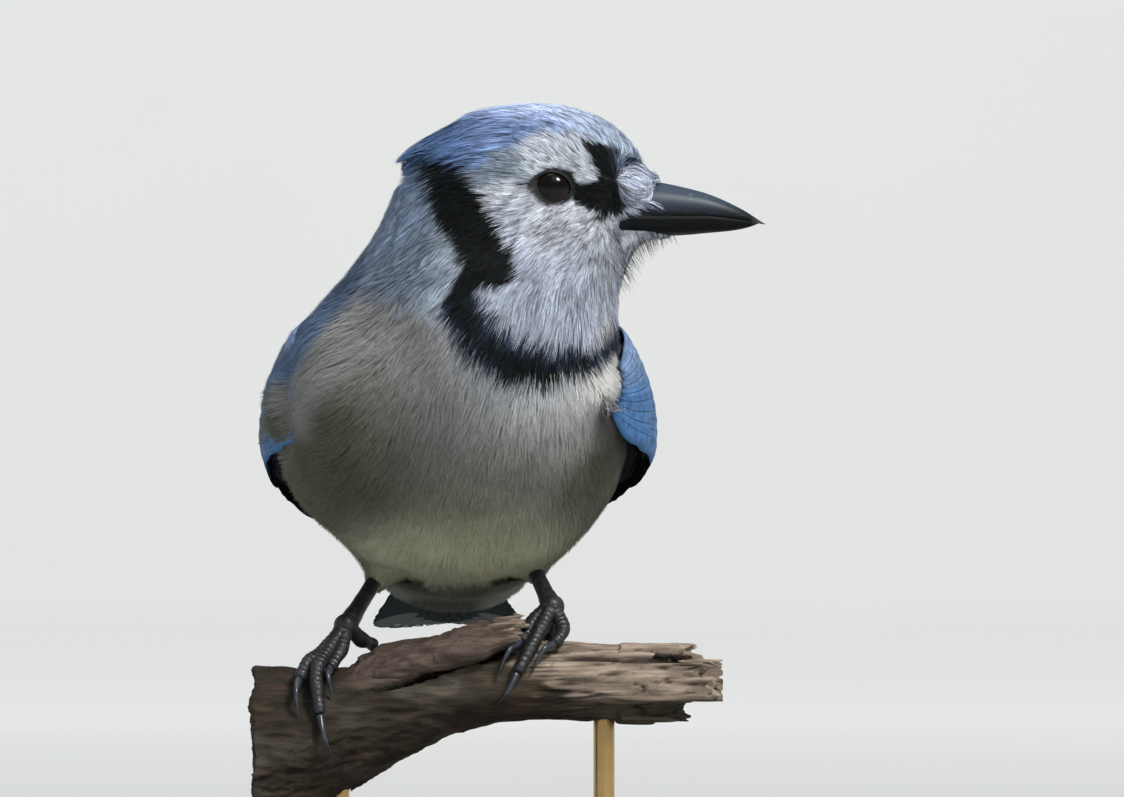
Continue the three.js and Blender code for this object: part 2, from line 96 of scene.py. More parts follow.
def in_body(points):
    """Places from the grip, as how far left, back and up they are in the body's frame"""
    x, y = points[..., 0] - BODY_SHIFT, points[..., 1]
    left = x * math.cos(BODY_TURN) + y * math.sin(BODY_TURN)
    back = y * math.cos(BODY_TURN) - x * math.sin(BODY_TURN)
    return left, back, points[..., 2]


class Wander:
    """A smooth irregular field of a given grain, from about -1 to 1, the same in each run"""

    def __init__(self, seed, grain, stretch=(1, 1, 1)):
        source = np.random.default_rng(seed)
        waves = 10
        self.turns = unit(source.normal(size=(waves, 3))) * source.uniform(0.5, 1.6, (waves, 1))
        self.turns *= 2 * math.pi / grain / np.array(stretch)
        self.starts = source.uniform(0, 2 * math.pi, waves)

    def __call__(self, points):
        total = sum(np.sin(points @ turn + start) for turn, start in zip(self.turns, self.starts))
        return total / 3.2


# Camera and studio

PICTURE_WIDTH = 1124 / 5.3  # the photo's width, at its scale of 5.3 pixels to the millimetre
PICTURE_MIDDLE = (22.08, 0, 45.57)
CAMERA_DISTANCE = 3.0


def add_camera():
    place = metres(PICTURE_MIDDLE) - (0, CAMERA_DISTANCE, 0)
    bpy.ops.object.camera_add(location=place, rotation=(math.radians(90), 0, 0))
    camera = bpy.context.object
    camera.data.lens = camera.data.sensor_width * CAMERA_DISTANCE / (PICTURE_WIDTH * MM)
    camera.data.clip_start = 0.1
    camera.data.clip_end = 60
    bpy.context.scene.camera = camera


def add_light(name, place, size, power, colour, aim=(0.0, 0.0, 0.13)):
    bpy.ops.object.light_add(type="AREA", location=place)
    light = bpy.context.object
    light.name = name
    light.data.shape = "DISK"
    light.data.size = size
    light.data.energy = power
    light.data.color = colour
    light.rotation_euler = (Vector(aim) - Vector(place)).to_track_quat("-Z", "Y").to_euler()


def add_studio():
    """A wide pale floor whose rim rises into a low wall all round, with soft light from above"""
    floor_radius, bend, wall, steps = 7.0, 1.2, 0.3, 10
    deselect()
    bpy.ops.mesh.primitive_circle_add(vertices=96, radius=floor_radius, fill_type="NGON")
    bowl = bpy.context.object
    bowl.name = "studio_floor"
    mode("EDIT")
    reach = floor_radius
    for step in range(1, steps + 1):
        before, after = (math.radians(90 * k / steps) for k in (step - 1, step))
        new_reach = floor_radius + bend * math.sin(after)
        draw_on((0, 0, bend * (math.cos(before) - math.cos(after))), new_reach / reach)
        reach = new_reach
    draw_on((0, 0, wall), 1)
    bpy.ops.mesh.delete(type="ONLY_FACE")
    mode("OBJECT")
    smooth_shade(bowl)
    bowl.data.materials.append(studio_finish())
    add_light("key_light", (1.25, -1.5, 2.2), 0.75, 80, (1.0, 0.985, 0.955))
    add_light("sky_light", (-0.2, 0.3, 2.6), 1.8, 36, (0.88, 0.94, 1.0))
    bpy.ops.object.light_add(type="SUN", rotation=(math.radians(34), math.radians(22), 0))
    sun = bpy.context.object
    sun.name = "room_light"
    sun.data.angle = math.radians(40)
    sun.data.energy = 0.5
    sun.data.color = (1.0, 0.985, 0.96)
    world = bpy.data.worlds.new("studio_air")
    bpy.context.scene.world = world
    world.use_nodes = True
    world.node_tree.nodes["Background"].inputs["Color"].default_value = (0.86, 0.88, 0.9, 1)
    world.node_tree.nodes["Background"].inputs["Strength"].default_value = 0.36


# Modelling


def deselect():
    bpy.ops.object.select_all(action="DESELECT")


def choose(*objects):
    deselect()
    for one in objects:
        one.select_set(True)
    bpy.context.view_layer.objects.active = objects[0]


def mode(name):
    bpy.ops.object.mode_set(mode=name)


def smooth_shade(piece):
    choose(piece)
    bpy.ops.object.shade_smooth()


def settle(piece):
    """Puts a piece's place into its mesh, so that its object sits at the origin"""
    choose(piece)
    bpy.ops.object.transform_apply(location=True, rotation=True, scale=True)


def apply(piece, kind, **settings):
    choose(piece)
    modifier = piece.modifiers.new(kind.title(), kind)
    for name, value in settings.items():
        setattr(modifier, name, value)
    bpy.ops.object.modifier_apply(modifier=modifier.name)


def draw_on(step, scale):
    """Extrudes what is selected by a step, and scales it about its new middle"""
    bpy.ops.mesh.extrude_region_move(TRANSFORM_OT_translate={"value": step})
    bpy.ops.transform.resize(value=(scale, scale, scale))


def edited(pieces, work):
    """Does some work in edit mode on the whole of each piece"""
    choose(*pieces)
    mode("EDIT")
    bpy.ops.mesh.select_all(action="SELECT")
    work()
    mode("OBJECT")


def turn_outwards(piece):
    edited([piece], lambda: bpy.ops.mesh.normals_make_consistent(inside=False))


def read(items, what, width):
    values = np.empty(len(items) * width)
    items.foreach_get(what, values)
    return values.reshape(-1, width)


def corners(mesh):
    return read(mesh.vertices, "co", 3)


def move_corners(mesh, places):
    mesh.vertices.foreach_set("co", np.ascontiguousarray(places, np.float32).ravel())
    mesh.update()


def rounded_ends(share, sharpness):
    """Closes a drawn-out shape: 1 along most of its length, and 0 at both ends"""
    return np.sqrt(np.clip(1 - np.abs(2 * share - 1) ** sharpness, 0, 1))


def drawn_out(name, sides, rings, place):
    """A ball drawn out into a closed shape. place takes the share of the length and the angle round it."""
    deselect()
    bpy.ops.mesh.primitive_uv_sphere_add(segments=sides, ring_count=rings, radius=1)
    piece = bpy.context.object
    piece.name = name
    piece.data.name = name
    ball = corners(piece.data)
    share = np.arccos(np.clip(ball[:, 2], -1, 1)) / math.pi
    angle = np.arctan2(ball[:, 1], ball[:, 0])
    move_corners(piece.data, metres(place(share, angle)))
    turn_outwards(piece)
    smooth_shade(piece)
    return piece


def joined(name, pieces):
    choose(*pieces)
    bpy.ops.object.join()
    piece = bpy.context.object
    piece.name = name
    piece.data.name = name
    return piece


def placed(name, mesh):
    piece = bpy.data.objects.new(name, mesh)
    bpy.context.scene.collection.objects.link(piece)
    return piece


def mesh_of(name, places, loops, starts):
    """A mesh from its corners in millimetres, the corner at each loop, and each face's first loop"""
    mesh = bpy.data.meshes.new(name)
    mesh.vertices.add(len(places))
    move_corners(mesh, metres(places))
    mesh.loops.add(loops.size)
    mesh.loops.foreach_set("vertex_index", loops.ravel())
    mesh.polygons.add(starts.size)
    mesh.polygons.foreach_set("loop_start", starts.ravel())
    mesh.update(calc_edges=True)
    return mesh


def copied(name, nodes, grow):
    """One mesh of copies of CAD nodes, each grown all round by a few tenths of a millimetre"""
    copies = [placed(name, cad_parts[node].data.copy()) for node in nodes]
    for copy in copies:
        copy.data.materials.clear()

    def weld_and_grow():
        bpy.ops.mesh.remove_doubles(threshold=1e-6)
        if grow:
            bpy.ops.transform.shrink_fatten(value=grow * MM)

    edited(copies, weld_and_grow)
    return joined(name, copies)


def trimmed(piece, at, away):
    """Takes off and closes what lies beyond a place, in one direction"""
    plane = {"plane_co": metres(at), "plane_no": away}
    edited([piece], lambda: bpy.ops.mesh.bisect(**plane, use_fill=True, clear_outer=True))
    return piece


def paint_corners(mesh, name, colours):
    """Stores a colour at each corner of a mesh, for its material to read"""
    layer = mesh.attributes.new(name, "FLOAT_COLOR", "POINT")
    four = np.ones((len(mesh.vertices), 4), np.float32)
    four[:, : colours.shape[1]] = colours
    layer.data.foreach_set("color", four.ravel())


def finish(piece, material, slot, *replaced):
    if material is not None:
        piece.data.materials.clear()
        piece.data.materials.append(material)
    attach(piece, "root")
    if replaced:
        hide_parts(*replaced)


# Materials


class Value:
    """One output of a material's nodes, so that maths on it can be written as it is read"""

    def __init__(self, paint, socket):
        self.paint = paint
        self.socket = socket

    def maths(self, operation, *values):
        return self.paint.node("ShaderNodeMath", {"operation": operation}, values)

    def __add__(self, other):
        return self.maths("ADD", self, other)

    def __sub__(self, other):
        return self.maths("SUBTRACT", self, other)

    def __rsub__(self, other):
        return self.maths("SUBTRACT", other, self)

    def __mul__(self, other):
        return self.maths("MULTIPLY", self, other)

    def __truediv__(self, other):
        return self.maths("DIVIDE", self, other)

    def __pow__(self, other):
        return self.maths("POWER", self, other)

    def __abs__(self):
        return self.maths("ABSOLUTE", self)

    __radd__ = __add__
    __rmul__ = __mul__


class Paint:
    """A material and the nodes that make it"""

    def __init__(self, name, **constants):
        self.material = bpy.data.materials.new(name)
        self.material.use_nodes = True
        self.tree = self.material.node_tree
        self.shader = self.tree.nodes["Principled BSDF"]
        self.set(**constants)

    def feed(self, socket, value):
        if isinstance(value, Value):
            self.tree.links.new(value.socket, socket)
        elif isinstance(value, tuple) and len(value) == 3 and socket.type == "RGBA":
            socket.default_value = (*value, 1.0)
        else:
            socket.default_value = value

    def set(self, **inputs):
        """Sets or links the shader's own inputs"""
        for name, value in inputs.items():
            self.feed(self.shader.inputs[name.replace("_", " ")], value)

    def node(self, kind, settings, sockets, output=0):
        """Any node: its settings first, then the values or links of its inputs, by order or by name"""
        made = self.tree.nodes.new(kind)
        for name, value in settings.items():
            if name == "stops":
                self.set_stops(made.color_ramp, value)
            else:
                setattr(made, name, value)
        pairs = sockets.items() if isinstance(sockets, dict) else enumerate(sockets)
        for key, value in pairs:
            self.feed(made.inputs[key], value)
        return Value(self, made.outputs[output])

    @staticmethod
    def set_stops(ramp, stops):
        while len(ramp.elements) < len(stops):
            ramp.elements.new(0.5)
        for element, (place, colour) in zip(ramp.elements, stops):
            element.position = place
            element.color = (*colour, 1.0)

    def here(self, scale=(1, 1, 1), shift=(0, 0, 0)):
        """Where a point lies on the object, stretched or shifted for a pattern"""
        place = self.node("ShaderNodeTexCoord", {}, (), "Object")
        return self.node("ShaderNodeMapping", {}, {"Vector": place, "Location": shift, "Scale": scale})

    def noise(self, scale, detail=3.0, roughness=0.55, stretch=(1, 1, 1), vector=None):
        sockets = {"Vector": vector or self.here(stretch), "Scale": scale, "Detail": detail}
        return self.node("ShaderNodeTexNoise", {}, {**sockets, "Roughness": roughness})

    def ramp(self, value, stops):
        return self.node("ShaderNodeValToRGB", {"stops": stops}, (value,))

    def spread(self, value, low, high, to_low=0.0, to_high=1.0):
        return self.node("ShaderNodeMapRange", {}, (value, low, high, to_low, to_high))

    def mix(self, share, first, second):
        return self.node("ShaderNodeMix", {"data_type": "RGBA"}, {0: share, 6: first, 7: second}, 2)

    def tint(self, colour, strength):
        """A colour made lighter or darker by a number that varies over the surface"""
        sockets = {"Vector": colour, "Scale": strength}
        return self.node("ShaderNodeVectorMath", {"operation": "SCALE"}, sockets)

    def split(self, vector):
        """The three numbers of a vector"""
        made = self.node("ShaderNodeSeparateXYZ", {}, (vector,))
        return [Value(self, socket) for socket in made.socket.node.outputs]

    def stored(self, name):
        """A colour stored at the corners of the mesh"""
        return self.node("ShaderNodeAttribute", {"attribute_name": name}, (), "Color")

    def wave(self, value, length):
        """A sine from -1 to 1 that repeats each time the value grows by a length"""
        phase = value * (2 * math.pi / length)
        return phase.maths("SINE", phase)

    def finished(self, bump=None, **inputs):
        """The material, with its last inputs set. bump is the height, the strength and the distance."""
        self.set(**inputs)
        if bump:
            height, strength, distance = bump
            sockets = {"Strength": strength, "Distance": distance, "Height": height}
            self.set(Normal=self.node("ShaderNodeBump", {}, sockets))
        return self.material


def studio_finish():
    """Matt pale paper with a painted glow, which grows away from the middle to light the far floor"""
    paint = Paint("studio_pale", Roughness=0.9, Emission_Strength=1.0)
    x, y, _ = paint.split(paint.here())
    far = paint.spread((x * x + y * y) ** 0.5, 0.5, 3.2)
    grain = paint.noise(3.0)
    return paint.finished(
        Base_Color=paint.ramp(grain, [(0.3, (0.49, 0.495, 0.49)), (0.7, (0.51, 0.513, 0.505))]),
        # painted light: the floor glows, from nothing at the middle to pale grey far out
        Emission_Color=paint.mix(far, (0.0, 0.0, 0.0), (0.45, 0.46, 0.455)),
    )


def skin_finish():
    """The skin under the coat: the same markings, in shade, with the fine unevenness of down"""
    paint = Paint("skin_under_feathers", Roughness=0.85)
    down = paint.noise(900.0, 4.0)
    return paint.finished(
        bump=(down, 0.5, 0.0004),
        Base_Color=paint.tint(paint.stored("plumage"), paint.spread(down, 0.3, 0.7, 0.5, 0.8)),
    )


def coat_finish(name, roughness):
    """Barbs of the small feathers: the stored markings, broken up a little along each tuft"""
    paint = Paint(name, Roughness=roughness, Specular_IOR_Level=0.08)
    fleck = paint.noise(1400.0, 2.0)
    return paint.finished(
        Base_Color=paint.tint(paint.stored("plumage"), paint.spread(fleck, 0.25, 0.75, 0.88, 1.12))
    )


BAR_SPACING = 3.1  # millimetres between a feather's black bars
BARB_SPACING = 0.42


def vane_finish(name, underside=False):
    """A flight feather: barbs that run slantwise from a dark shaft, black bars and a pale tip"""
    paint = Paint(name, Roughness=0.5, Specular_IOR_Level=0.0 if underside else 0.14)
    across, along, _ = paint.split(paint.node("ShaderNodeUVMap", {"uv_map": "vane"}, ()))
    bar_strength, tip_length, to_tip = paint.split(paint.stored("mark"))
    side = across - 0.5
    out = abs(side) * 2
    wobble = paint.noise(260.0, 2.0) - 0.5
    slant = along * 10 - out * 1.6
    bars = paint.spread(paint.wave(slant + wobble * 1.3, BAR_SPACING), 0.42, 0.72) * bar_strength
    inner = paint.spread(side, 0.06, 0.16)
    pale = paint.spread(to_tip * 10 - tip_length * 10 + wobble * 2.2, 0.5, -0.7)
    barbs = paint.wave(slant + wobble * 0.25, BARB_SPACING) * 0.5 + 0.5
    strand = paint.noise(1500.0, 3.0, stretch=(1, 0.35, 0.35))
    colour = paint.tint(paint.stored("tint"), paint.spread(barbs, 0, 1, 0.78, 1.14))
    colour = paint.tint(colour, paint.spread(strand, 0.3, 0.7, 0.6, 1.35))
    # and its pale tips are painted dim
    # painted shade: the underside is painted nearly black with a greenish cast, darker than its own grey,
    if underside:
        colour = paint.mix(0.96, colour, (0.02, 0.02, 0.009))
        colour = paint.mix(pale * 0.15, colour, (0.4, 0.41, 0.4))
    else:
        # paler outer edges: partly the feathers' own pale fringes, partly a painted sky highlight along them
        edge = paint.spread(out, 0.55, 0.95) * (1 - inner)
        colour = paint.mix(edge * 0.45, colour, (0.1, 0.3, 0.62))
        colour = paint.mix(inner * (bar_strength * 0.5 + 0.2), colour, (0.018, 0.022, 0.03))
        colour = paint.mix(bars * (1 - pale), colour, (0.008, 0.01, 0.016))
        colour = paint.mix(pale, colour, (0.68, 0.72, 0.74))
        shaft = paint.spread(out, 0.05, 0.025)
        colour = paint.mix(shaft * 0.85, colour, (0.012, 0.013, 0.017))
    return paint.finished(bump=(barbs, 0.35, 0.00012), Base_Color=colour)


def lining_finish():
    """The dusky inner side of the folded wing, where the bases of its feathers lie"""
    paint = Paint("wing_lining", Roughness=0.8)
    streak = paint.noise(900.0, 3.0, stretch=(1, 0.2, 1))
    return paint.finished(
        bump=(streak, 0.4, 0.0002),
        Base_Color=paint.ramp(streak, [(0.3, (0.02, 0.026, 0.034)), (0.7, (0.05, 0.062, 0.075))]),
    )


def bill_finish():
    """Dark horn with a faint grain along it, pale scuffs, and a worn, paler tip"""
    paint = Paint("bill_horn", Specular_IOR_Level=0.06, Coat_Roughness=0.35)
    grain = paint.noise(260.0, 5.0, 0.65, stretch=(1, 7, 7))
    scuffs = paint.noise(620.0, 4.0, 0.7, stretch=(1, 2.6, 4))
    x, _, z = paint.split(paint.here())
    along = x / MM - GRIP[0]
    high = z / MM - GRIP[2]
    culmen = paint.spread(along, 40.5, 47) * paint.spread(along, 53, 48) * paint.spread(high, 81.3, 83.5)
    worn = paint.spread(scuffs, 0.62, 0.7) * culmen
    tip = paint.spread(along, 57.6, 60.6)
    colour = paint.ramp(grain, [(0.3, (0.006, 0.0075, 0.009)), (0.72, (0.018, 0.0225, 0.027))])
    # painted reflection: the upper part of the bill is painted lighter and bluer, as the sky shows in it
    colour = paint.mix(paint.spread(high, 80.3, 83) * 0.85, colour, (0.03, 0.047, 0.07))
    # painted shade: below the gape the horn is painted nearly black
    colour = paint.mix(paint.spread(high, 80.1, 79.6) * 0.8, colour, (0.0025, 0.003, 0.003))
    colour = paint.mix(worn * 0.75, colour, (0.3, 0.32, 0.33))
    colour = paint.mix(tip * 0.6, colour, (0.16, 0.15, 0.14))
    return paint.finished(
        bump=(grain + worn * 0.6, 0.28, 0.00012),
        Base_Color=colour, Roughness=paint.spread(grain, 0.3, 0.7, 0.38, 0.52) + worn * 0.2,
        Coat_Weight=paint.spread(high, 80.4, 82.5) * 0.25,
    )


def eye_finish(side):
    """A dark brown iris round a black pupil, under a wet cornea"""
    paint = Paint("eye_" + ("left" if side > 0 else "right"), Roughness=0.05, IOR=1.3)
    middle = metres((EYE[0], HEAD_PLANE + side * EYE[1], EYE[2]))
    place = paint.here(shift=tuple(-middle))
    x, _, z = paint.split(place)
    out = ((x * x + z * z) ** 0.5) / MM
    angle = z.maths("ARCTAN2", z, x)
    round_pupil = paint.node("ShaderNodeCombineXYZ", {}, (angle * 2.2, out * 0.35, 0.0))
    rays = paint.noise(6.0, 4.0, vector=round_pupil)
    iris = paint.ramp(rays, [(0.3, (0.0022, 0.0012, 0.0009)), (0.7, (0.0085, 0.0038, 0.0024))])
    # painted light: the iris is painted lighter below and darker above, as light falls in from above
    iris = paint.tint(iris, paint.spread(z / MM, 1.0, -2.6, 0.55, 1.7))
    colour = paint.mix(paint.spread(out, 1.95, 2.1), (0.002, 0.002, 0.0022), iris)
    colour = paint.mix(paint.spread(out, 3.15, 3.5), colour, (0.006, 0.004, 0.0035))
    return paint.finished(Base_Color=colour)


def lid_finish():
    """Thin dark skin of the lids, with a row of pale scales along the lower one"""
    paint = Paint("eyelid", Roughness=0.6, Specular_IOR_Level=0.18)
    grain = paint.noise(1500.0, 3.0)
    colour = paint.mix(paint.spread(grain, 0.35, 0.65), (0.004, 0.004, 0.005), (0.012, 0.0125, 0.014))
    beads = paint.stored("beads")
    colour = paint.mix(paint.spread(paint.split(beads)[0], 0.2, 0.8), colour, (0.5, 0.52, 0.52))
    return paint.finished(bump=(grain, 0.4, 0.0002), Base_Color=colour)


def leg_finish():
    """Near-black scaly skin with a slight shine on the scutes"""
    paint = Paint("leg_scales", Specular_IOR_Level=0.55)
    grain = paint.noise(1100.0, 4.0)
    sockets = {"Vector": paint.here(), "Scale": 1500.0}
    cells = paint.node("ShaderNodeTexVoronoi", {"feature": "DISTANCE_TO_EDGE"}, sockets)
    seams = paint.spread(cells, 0.0, 0.12)
    high = paint.split(paint.stored("scute"))[0]
    colour = paint.mix(high, (0.003, 0.003, 0.0035), (0.0115, 0.0125, 0.016))
    colour = paint.tint(colour, paint.spread(grain, 0.3, 0.7, 0.75, 1.25))
    return paint.finished(
        bump=(seams * 0.6 + grain * 0.5, 0.4, 0.00016),
        Base_Color=colour, Roughness=paint.spread(high, 0.0, 1.0, 0.6, 0.27),
    )


def claw_finish():
    paint = Paint("claw_horn", Specular_IOR_Level=0.5, Coat_Weight=0.3, Coat_Roughness=0.2)
    grain = paint.noise(700.0, 4.0)
    colour = paint.ramp(grain, [(0.3, (0.01, 0.012, 0.018)), (0.72, (0.04, 0.048, 0.066))])
    return paint.finished(
        bump=(grain, 0.2, 0.0001), Base_Color=colour, Roughness=paint.spread(grain, 0.3, 0.7, 0.26, 0.42)
    )


def perch_finish():
    """Weathered wood: stored bark and bare-wood colours, fibres along the grain, cracks and specks"""
    paint = Paint("perch_weathered", Roughness=0.85, Specular_IOR_Level=0.15)
    fibre = paint.noise(900.0, 6.0, 0.7, stretch=(0.09, 1, 1))
    coarse = paint.noise(330.0, 5.0, 0.65, stretch=(0.25, 1, 1))
    pits = paint.noise(620.0, 5.0, 0.7)
    # the stored colours hold painted light and shade: lighter on top, dark under the bare wood and in the
    # cracks
    colour = paint.tint(paint.stored("bark"), paint.spread(fibre, 0.3, 0.7, 0.55, 1.5))
    colour = paint.tint(colour, paint.spread(coarse, 0.32, 0.68, 0.62, 1.4))
    colour = paint.mix(paint.spread(pits, 0.61, 0.68) * 0.6, colour, (0.02, 0.015, 0.011))
    return paint.finished(bump=(fibre * 0.7 + coarse + pits * 0.5, 0.75, 0.0006), Base_Color=colour)


def plinth_finish():
    """Dark stained and waxed wood with its growth rings cut lengthwise"""
    paint = Paint("stand_stained_wood", Specular_IOR_Level=0.5, Coat_Weight=0.35, Coat_Roughness=0.22)
    warp = paint.noise(9.0, 2.0, stretch=(0.25, 1, 1))
    _, y, z = paint.split(paint.here())
    ring_width = 5.2 * MM
    rings = paint.wave(y + z * 0.6 + warp * 0.022, ring_width) * 0.5 + 0.5
    pores = paint.noise(1500.0, 4.0, 0.7, stretch=(0.05, 1, 1))
    colour = paint.ramp(rings, [(0.1, (0.026, 0.0135, 0.008)), (0.85, (0.062, 0.031, 0.016))])
    colour = paint.mix(paint.spread(pores, 0.56, 0.7) * 0.65, colour, (0.009, 0.005, 0.0035))
    return paint.finished(
        bump=(pores, 0.15, 0.00015), Base_Color=colour, Roughness=paint.spread(pores, 0.4, 0.7, 0.34, 0.5)
    )


def brass_finish():
    paint = Paint("stand_brass", Metallic=1.0)
    brushed = paint.noise(2600.0, 3.0, stretch=(1, 1, 0.04))
    stain = paint.noise(60.0, 3.0)
    colour = paint.ramp(stain, [(0.3, (0.44, 0.29, 0.12)), (0.7, (0.62, 0.44, 0.2))])
    return paint.finished(
        bump=(brushed, 0.08, 0.00005),
        Base_Color=colour, Roughness=paint.spread(brushed, 0.3, 0.7, 0.24, 0.38),
    )


# Markings. Colours are linear. Places are from the grip, and hold for both sides of the head.

# Some grounds hold painted light and shade: the lit upper breast is lighter, and the breast's sides, flanks,
# belly and vent are darker and more olive than their own colours, as in shade under green light
TINTS = {
    "crown": (0.2, 0.285, 0.5),
    # painted highlight on the top of the crown
    "crown_top_highlight": (0.6, 0.69, 0.9),
    "crown_front": (0.46, 0.54, 0.68),
    "crest": (0.072, 0.14, 0.3),
    "brow": (0.5, 0.54, 0.6),
    "temple": (0.2, 0.25, 0.31),
    "cheek": (0.53, 0.56, 0.61),
    "ear": (0.42, 0.455, 0.53),
    "chin": (0.36, 0.39, 0.44),
    "throat": (0.39, 0.43, 0.52),
    "throat_side": (0.33, 0.37, 0.45),
    "nasal": (0.4, 0.44, 0.55),
    "nape": (0.21, 0.27, 0.38),
    "neck": (0.155, 0.195, 0.26),
    "neck_pale": (0.3, 0.35, 0.42),
    "mantle": (0.08, 0.118, 0.19),
    "mantle_side": (0.108, 0.162, 0.26),
    "back": (0.13, 0.185, 0.33),
    "rump": (0.1, 0.19, 0.39),
    "shoulder": (0.25, 0.25, 0.25),
    "breast": (0.255, 0.258, 0.25),
    "breast_lit": (0.67, 0.67, 0.66),
    "breast_edge": (0.5, 0.5, 0.5),
    "breast_side": (0.16, 0.158, 0.138),
    # painted shade: the flanks are painted dark olive, far darker than their own grey
    "flank_shaded": (0.09, 0.092, 0.062),
    "belly": (0.21, 0.203, 0.152),
    "belly_side": (0.148, 0.142, 0.104),
    # painted shade: the white undertail coverts are painted mid-grey
    "vent": (0.12, 0.128, 0.098),
    "vent_shade": (0.06, 0.064, 0.045),
    "belly_low": (0.42, 0.42, 0.3),
}
TINTS = {name: np.array(colour) for name, colour in TINTS.items()}
BLACK = np.array((0.0055, 0.007, 0.0075))
INK_BLUE = np.array((0.018, 0.029, 0.054))
LORE_BLUE = np.array((0.12, 0.15, 0.24))
TAN = (0.36, 0.26, 0.18)
HOLLOW_SHADE = (0.014, 0.016, 0.009)
EDGE_WHITE = (0.85, 0.87, 0.9)

# Where each ground colour of head, neck and body has its middle
GROUNDS = {
    "cheek": [(20, -20.5, 78), (26, -16, 79), (9, -21, 84.6)],
    "ear": [(21, -18, 74), (10, -21.5, 80), (9, -21, 73)],
    "brow": [(24, -17, 90), (18, -19, 89), (29, -13, 88)],
    "temple": [(10, -20, 89), (3, -19, 87), (8, -21, 86.5)],
    "chin": [(33, -10, 75), (27, -15, 72)],
    "throat": [(22, -20, 66), (26, -24, 57), (34, -12, 62)],
    "throat_side": [(14, -26, 60), (13, -23, 67)],
    "nasal": [(36, -10, 85), (33, -13, 82)],
    "nape": [(-8, -12, 84), (-9, -14, 76)],
    "neck": [(-6, -22, 72), (-9, -19, 66), (-5, -27, 67)],
    "neck_pale": [(-0.5, -26, 72), (-1, -28, 63.5)],
    "mantle": [
        (-18, -10, 64), (-22, -6, 59), (-34, 2, 46), (0, 4, 72), (-14, 8, 66), (18, 6, 66), (35, 2, 55),
        (26, -2, 64),
    ],
    "mantle_side": [(-26, -14, 57), (-29, -5, 52), (-33, -4, 50), (-30, -10, 53)],
    "back": [(0, 24, 60), (0, 38, 50), (-18, 30, 48), (20, 30, 48)],
    "rump": [(0, 54, 37), (-12, 58, 29), (12, 58, 29), (0, 76, 20), (-8, 78, 19), (8, 78, 19)],
    "shoulder": [(-13, -22, 59), (-20, -22, 54), (-26, -19, 47), (-5, -29, 57), (-31, -12, 43.5)],
    # painted shade: the flanks' dark olive, also laid on the lower left of the belly to darken it
    "flank_shaded": [
        (-32, -10, 41), (-28, -16, 32), (-24, -24, 33), (-22, -28, 40), (-30, 4, 30), (34, -8, 32),
        (30, 20, 22), (-26, 24, 20), (-14, -31, 20), (-18, -24, 17), (-12, -24, 13),
    ],
    "breast_edge": [(33.5, -14, 55), (35, -12, 50.5)],
    "breast": [(8, -40, 47), (-4, -38, 48), (20, -40, 37), (33, -14, 43)],
    "breast_lit": [(21, -38, 46), (28, -30, 51), (31, -18, 50)],
    "breast_side": [(-16, -31, 46), (0, -45, 37), (31, -28, 37), (-33, -6, 40)],
    "belly": [(8, -42, 25), (4, -32, 17), (2, -18, 9)],
    "belly_side": [(22, -28, 20), (18, -36, 30), (-10, -38, 28), (26, 26, 14), (-22, 28, 12)],
    "vent_shade": [(10, 20, 6), (0, 30, 4), (0, 44, 3), (-12, 22, 8), (18, 22, 9)],
    "belly_low": [(0, 4, 7), (9, 2, 7.5), (4, -8, 8), (-6, 0, 8.5)],
    # painted shade: grey in place of the white of the undertail coverts
    "vent": [(0, 60, 3), (0, 78, 5), (9, 72, 8), (-9, 72, 8), (-14, 52, 10), (16, 52, 10)],
}
GROUND_PLACES = [place for places in GROUNDS.values() for place in places]
GROUND_TINTS = np.array([TINTS[name] for name, places in GROUNDS.items() for _ in places])

CROWN_EDGE = [
    (-14, 87.6), (-6.5, 88.6), (-5.3, 89.4), (-3.8, 89.2), (-2, 88.2), (0, 87.4), (2.5, 87.9), (5, 88.6),
    (7.5, 89.7), (10, 91.5), (13, 93), (16, 94.6), (21, 95.4), (25, 94.8), (28, 92.6), (31, 91),
    (34, 90), (39, 88.8),
]
# The black collar, seen from its own side: down the back edge, along the necklace, and back inside
COLLAR = [
    (-5.2, 91.2), (-4.8, 89.6), (-4, 87), (-2.9, 84.4), (-1.9, 80.5), (-0.6, 77.4), (1.1, 74.6), (2.2, 72),
    (2.7, 69.8), (3.2, 68.4), (1.6, 65.4), (0.2, 63.6), (0, 61.4), (0.8, 58.4), (2, 55.6), (4, 52.8),
    (7, 50.3), (10.5, 48.8), (15, 47.8), (18.5, 47.9), (22.5, 49), (26, 50.1), (29, 51.8), (31.5, 54.2),
    (34.5, 57.2), (34.5, 60.4), (31.6, 57.4), (28, 55.6), (24, 55), (20, 54.8), (16, 55.6), (12.6, 57),
    (9.4, 59.3), (7.2, 62), (6, 64.6), (6.1, 65.3), (8.9, 65.7), (12, 66.6), (13.5, 68.9), (12.9, 71.8),
    (11, 74.8), (9.8, 77.2), (8.4, 80.4), (6.6, 84.2), (4.6, 87), (1.4, 88.6), (-1.6, 90.4),
]
# The necklace's way round the far side of the throat, where the head's turn hides it
FAR_COLLAR = [
    (32, -17, 56), (32, -8, 57), (28, 1, 61), (21, 5, 66), (13, 6, 71), (7, 5, 76), (3, 3, 82), (-1, 1, 88),
]
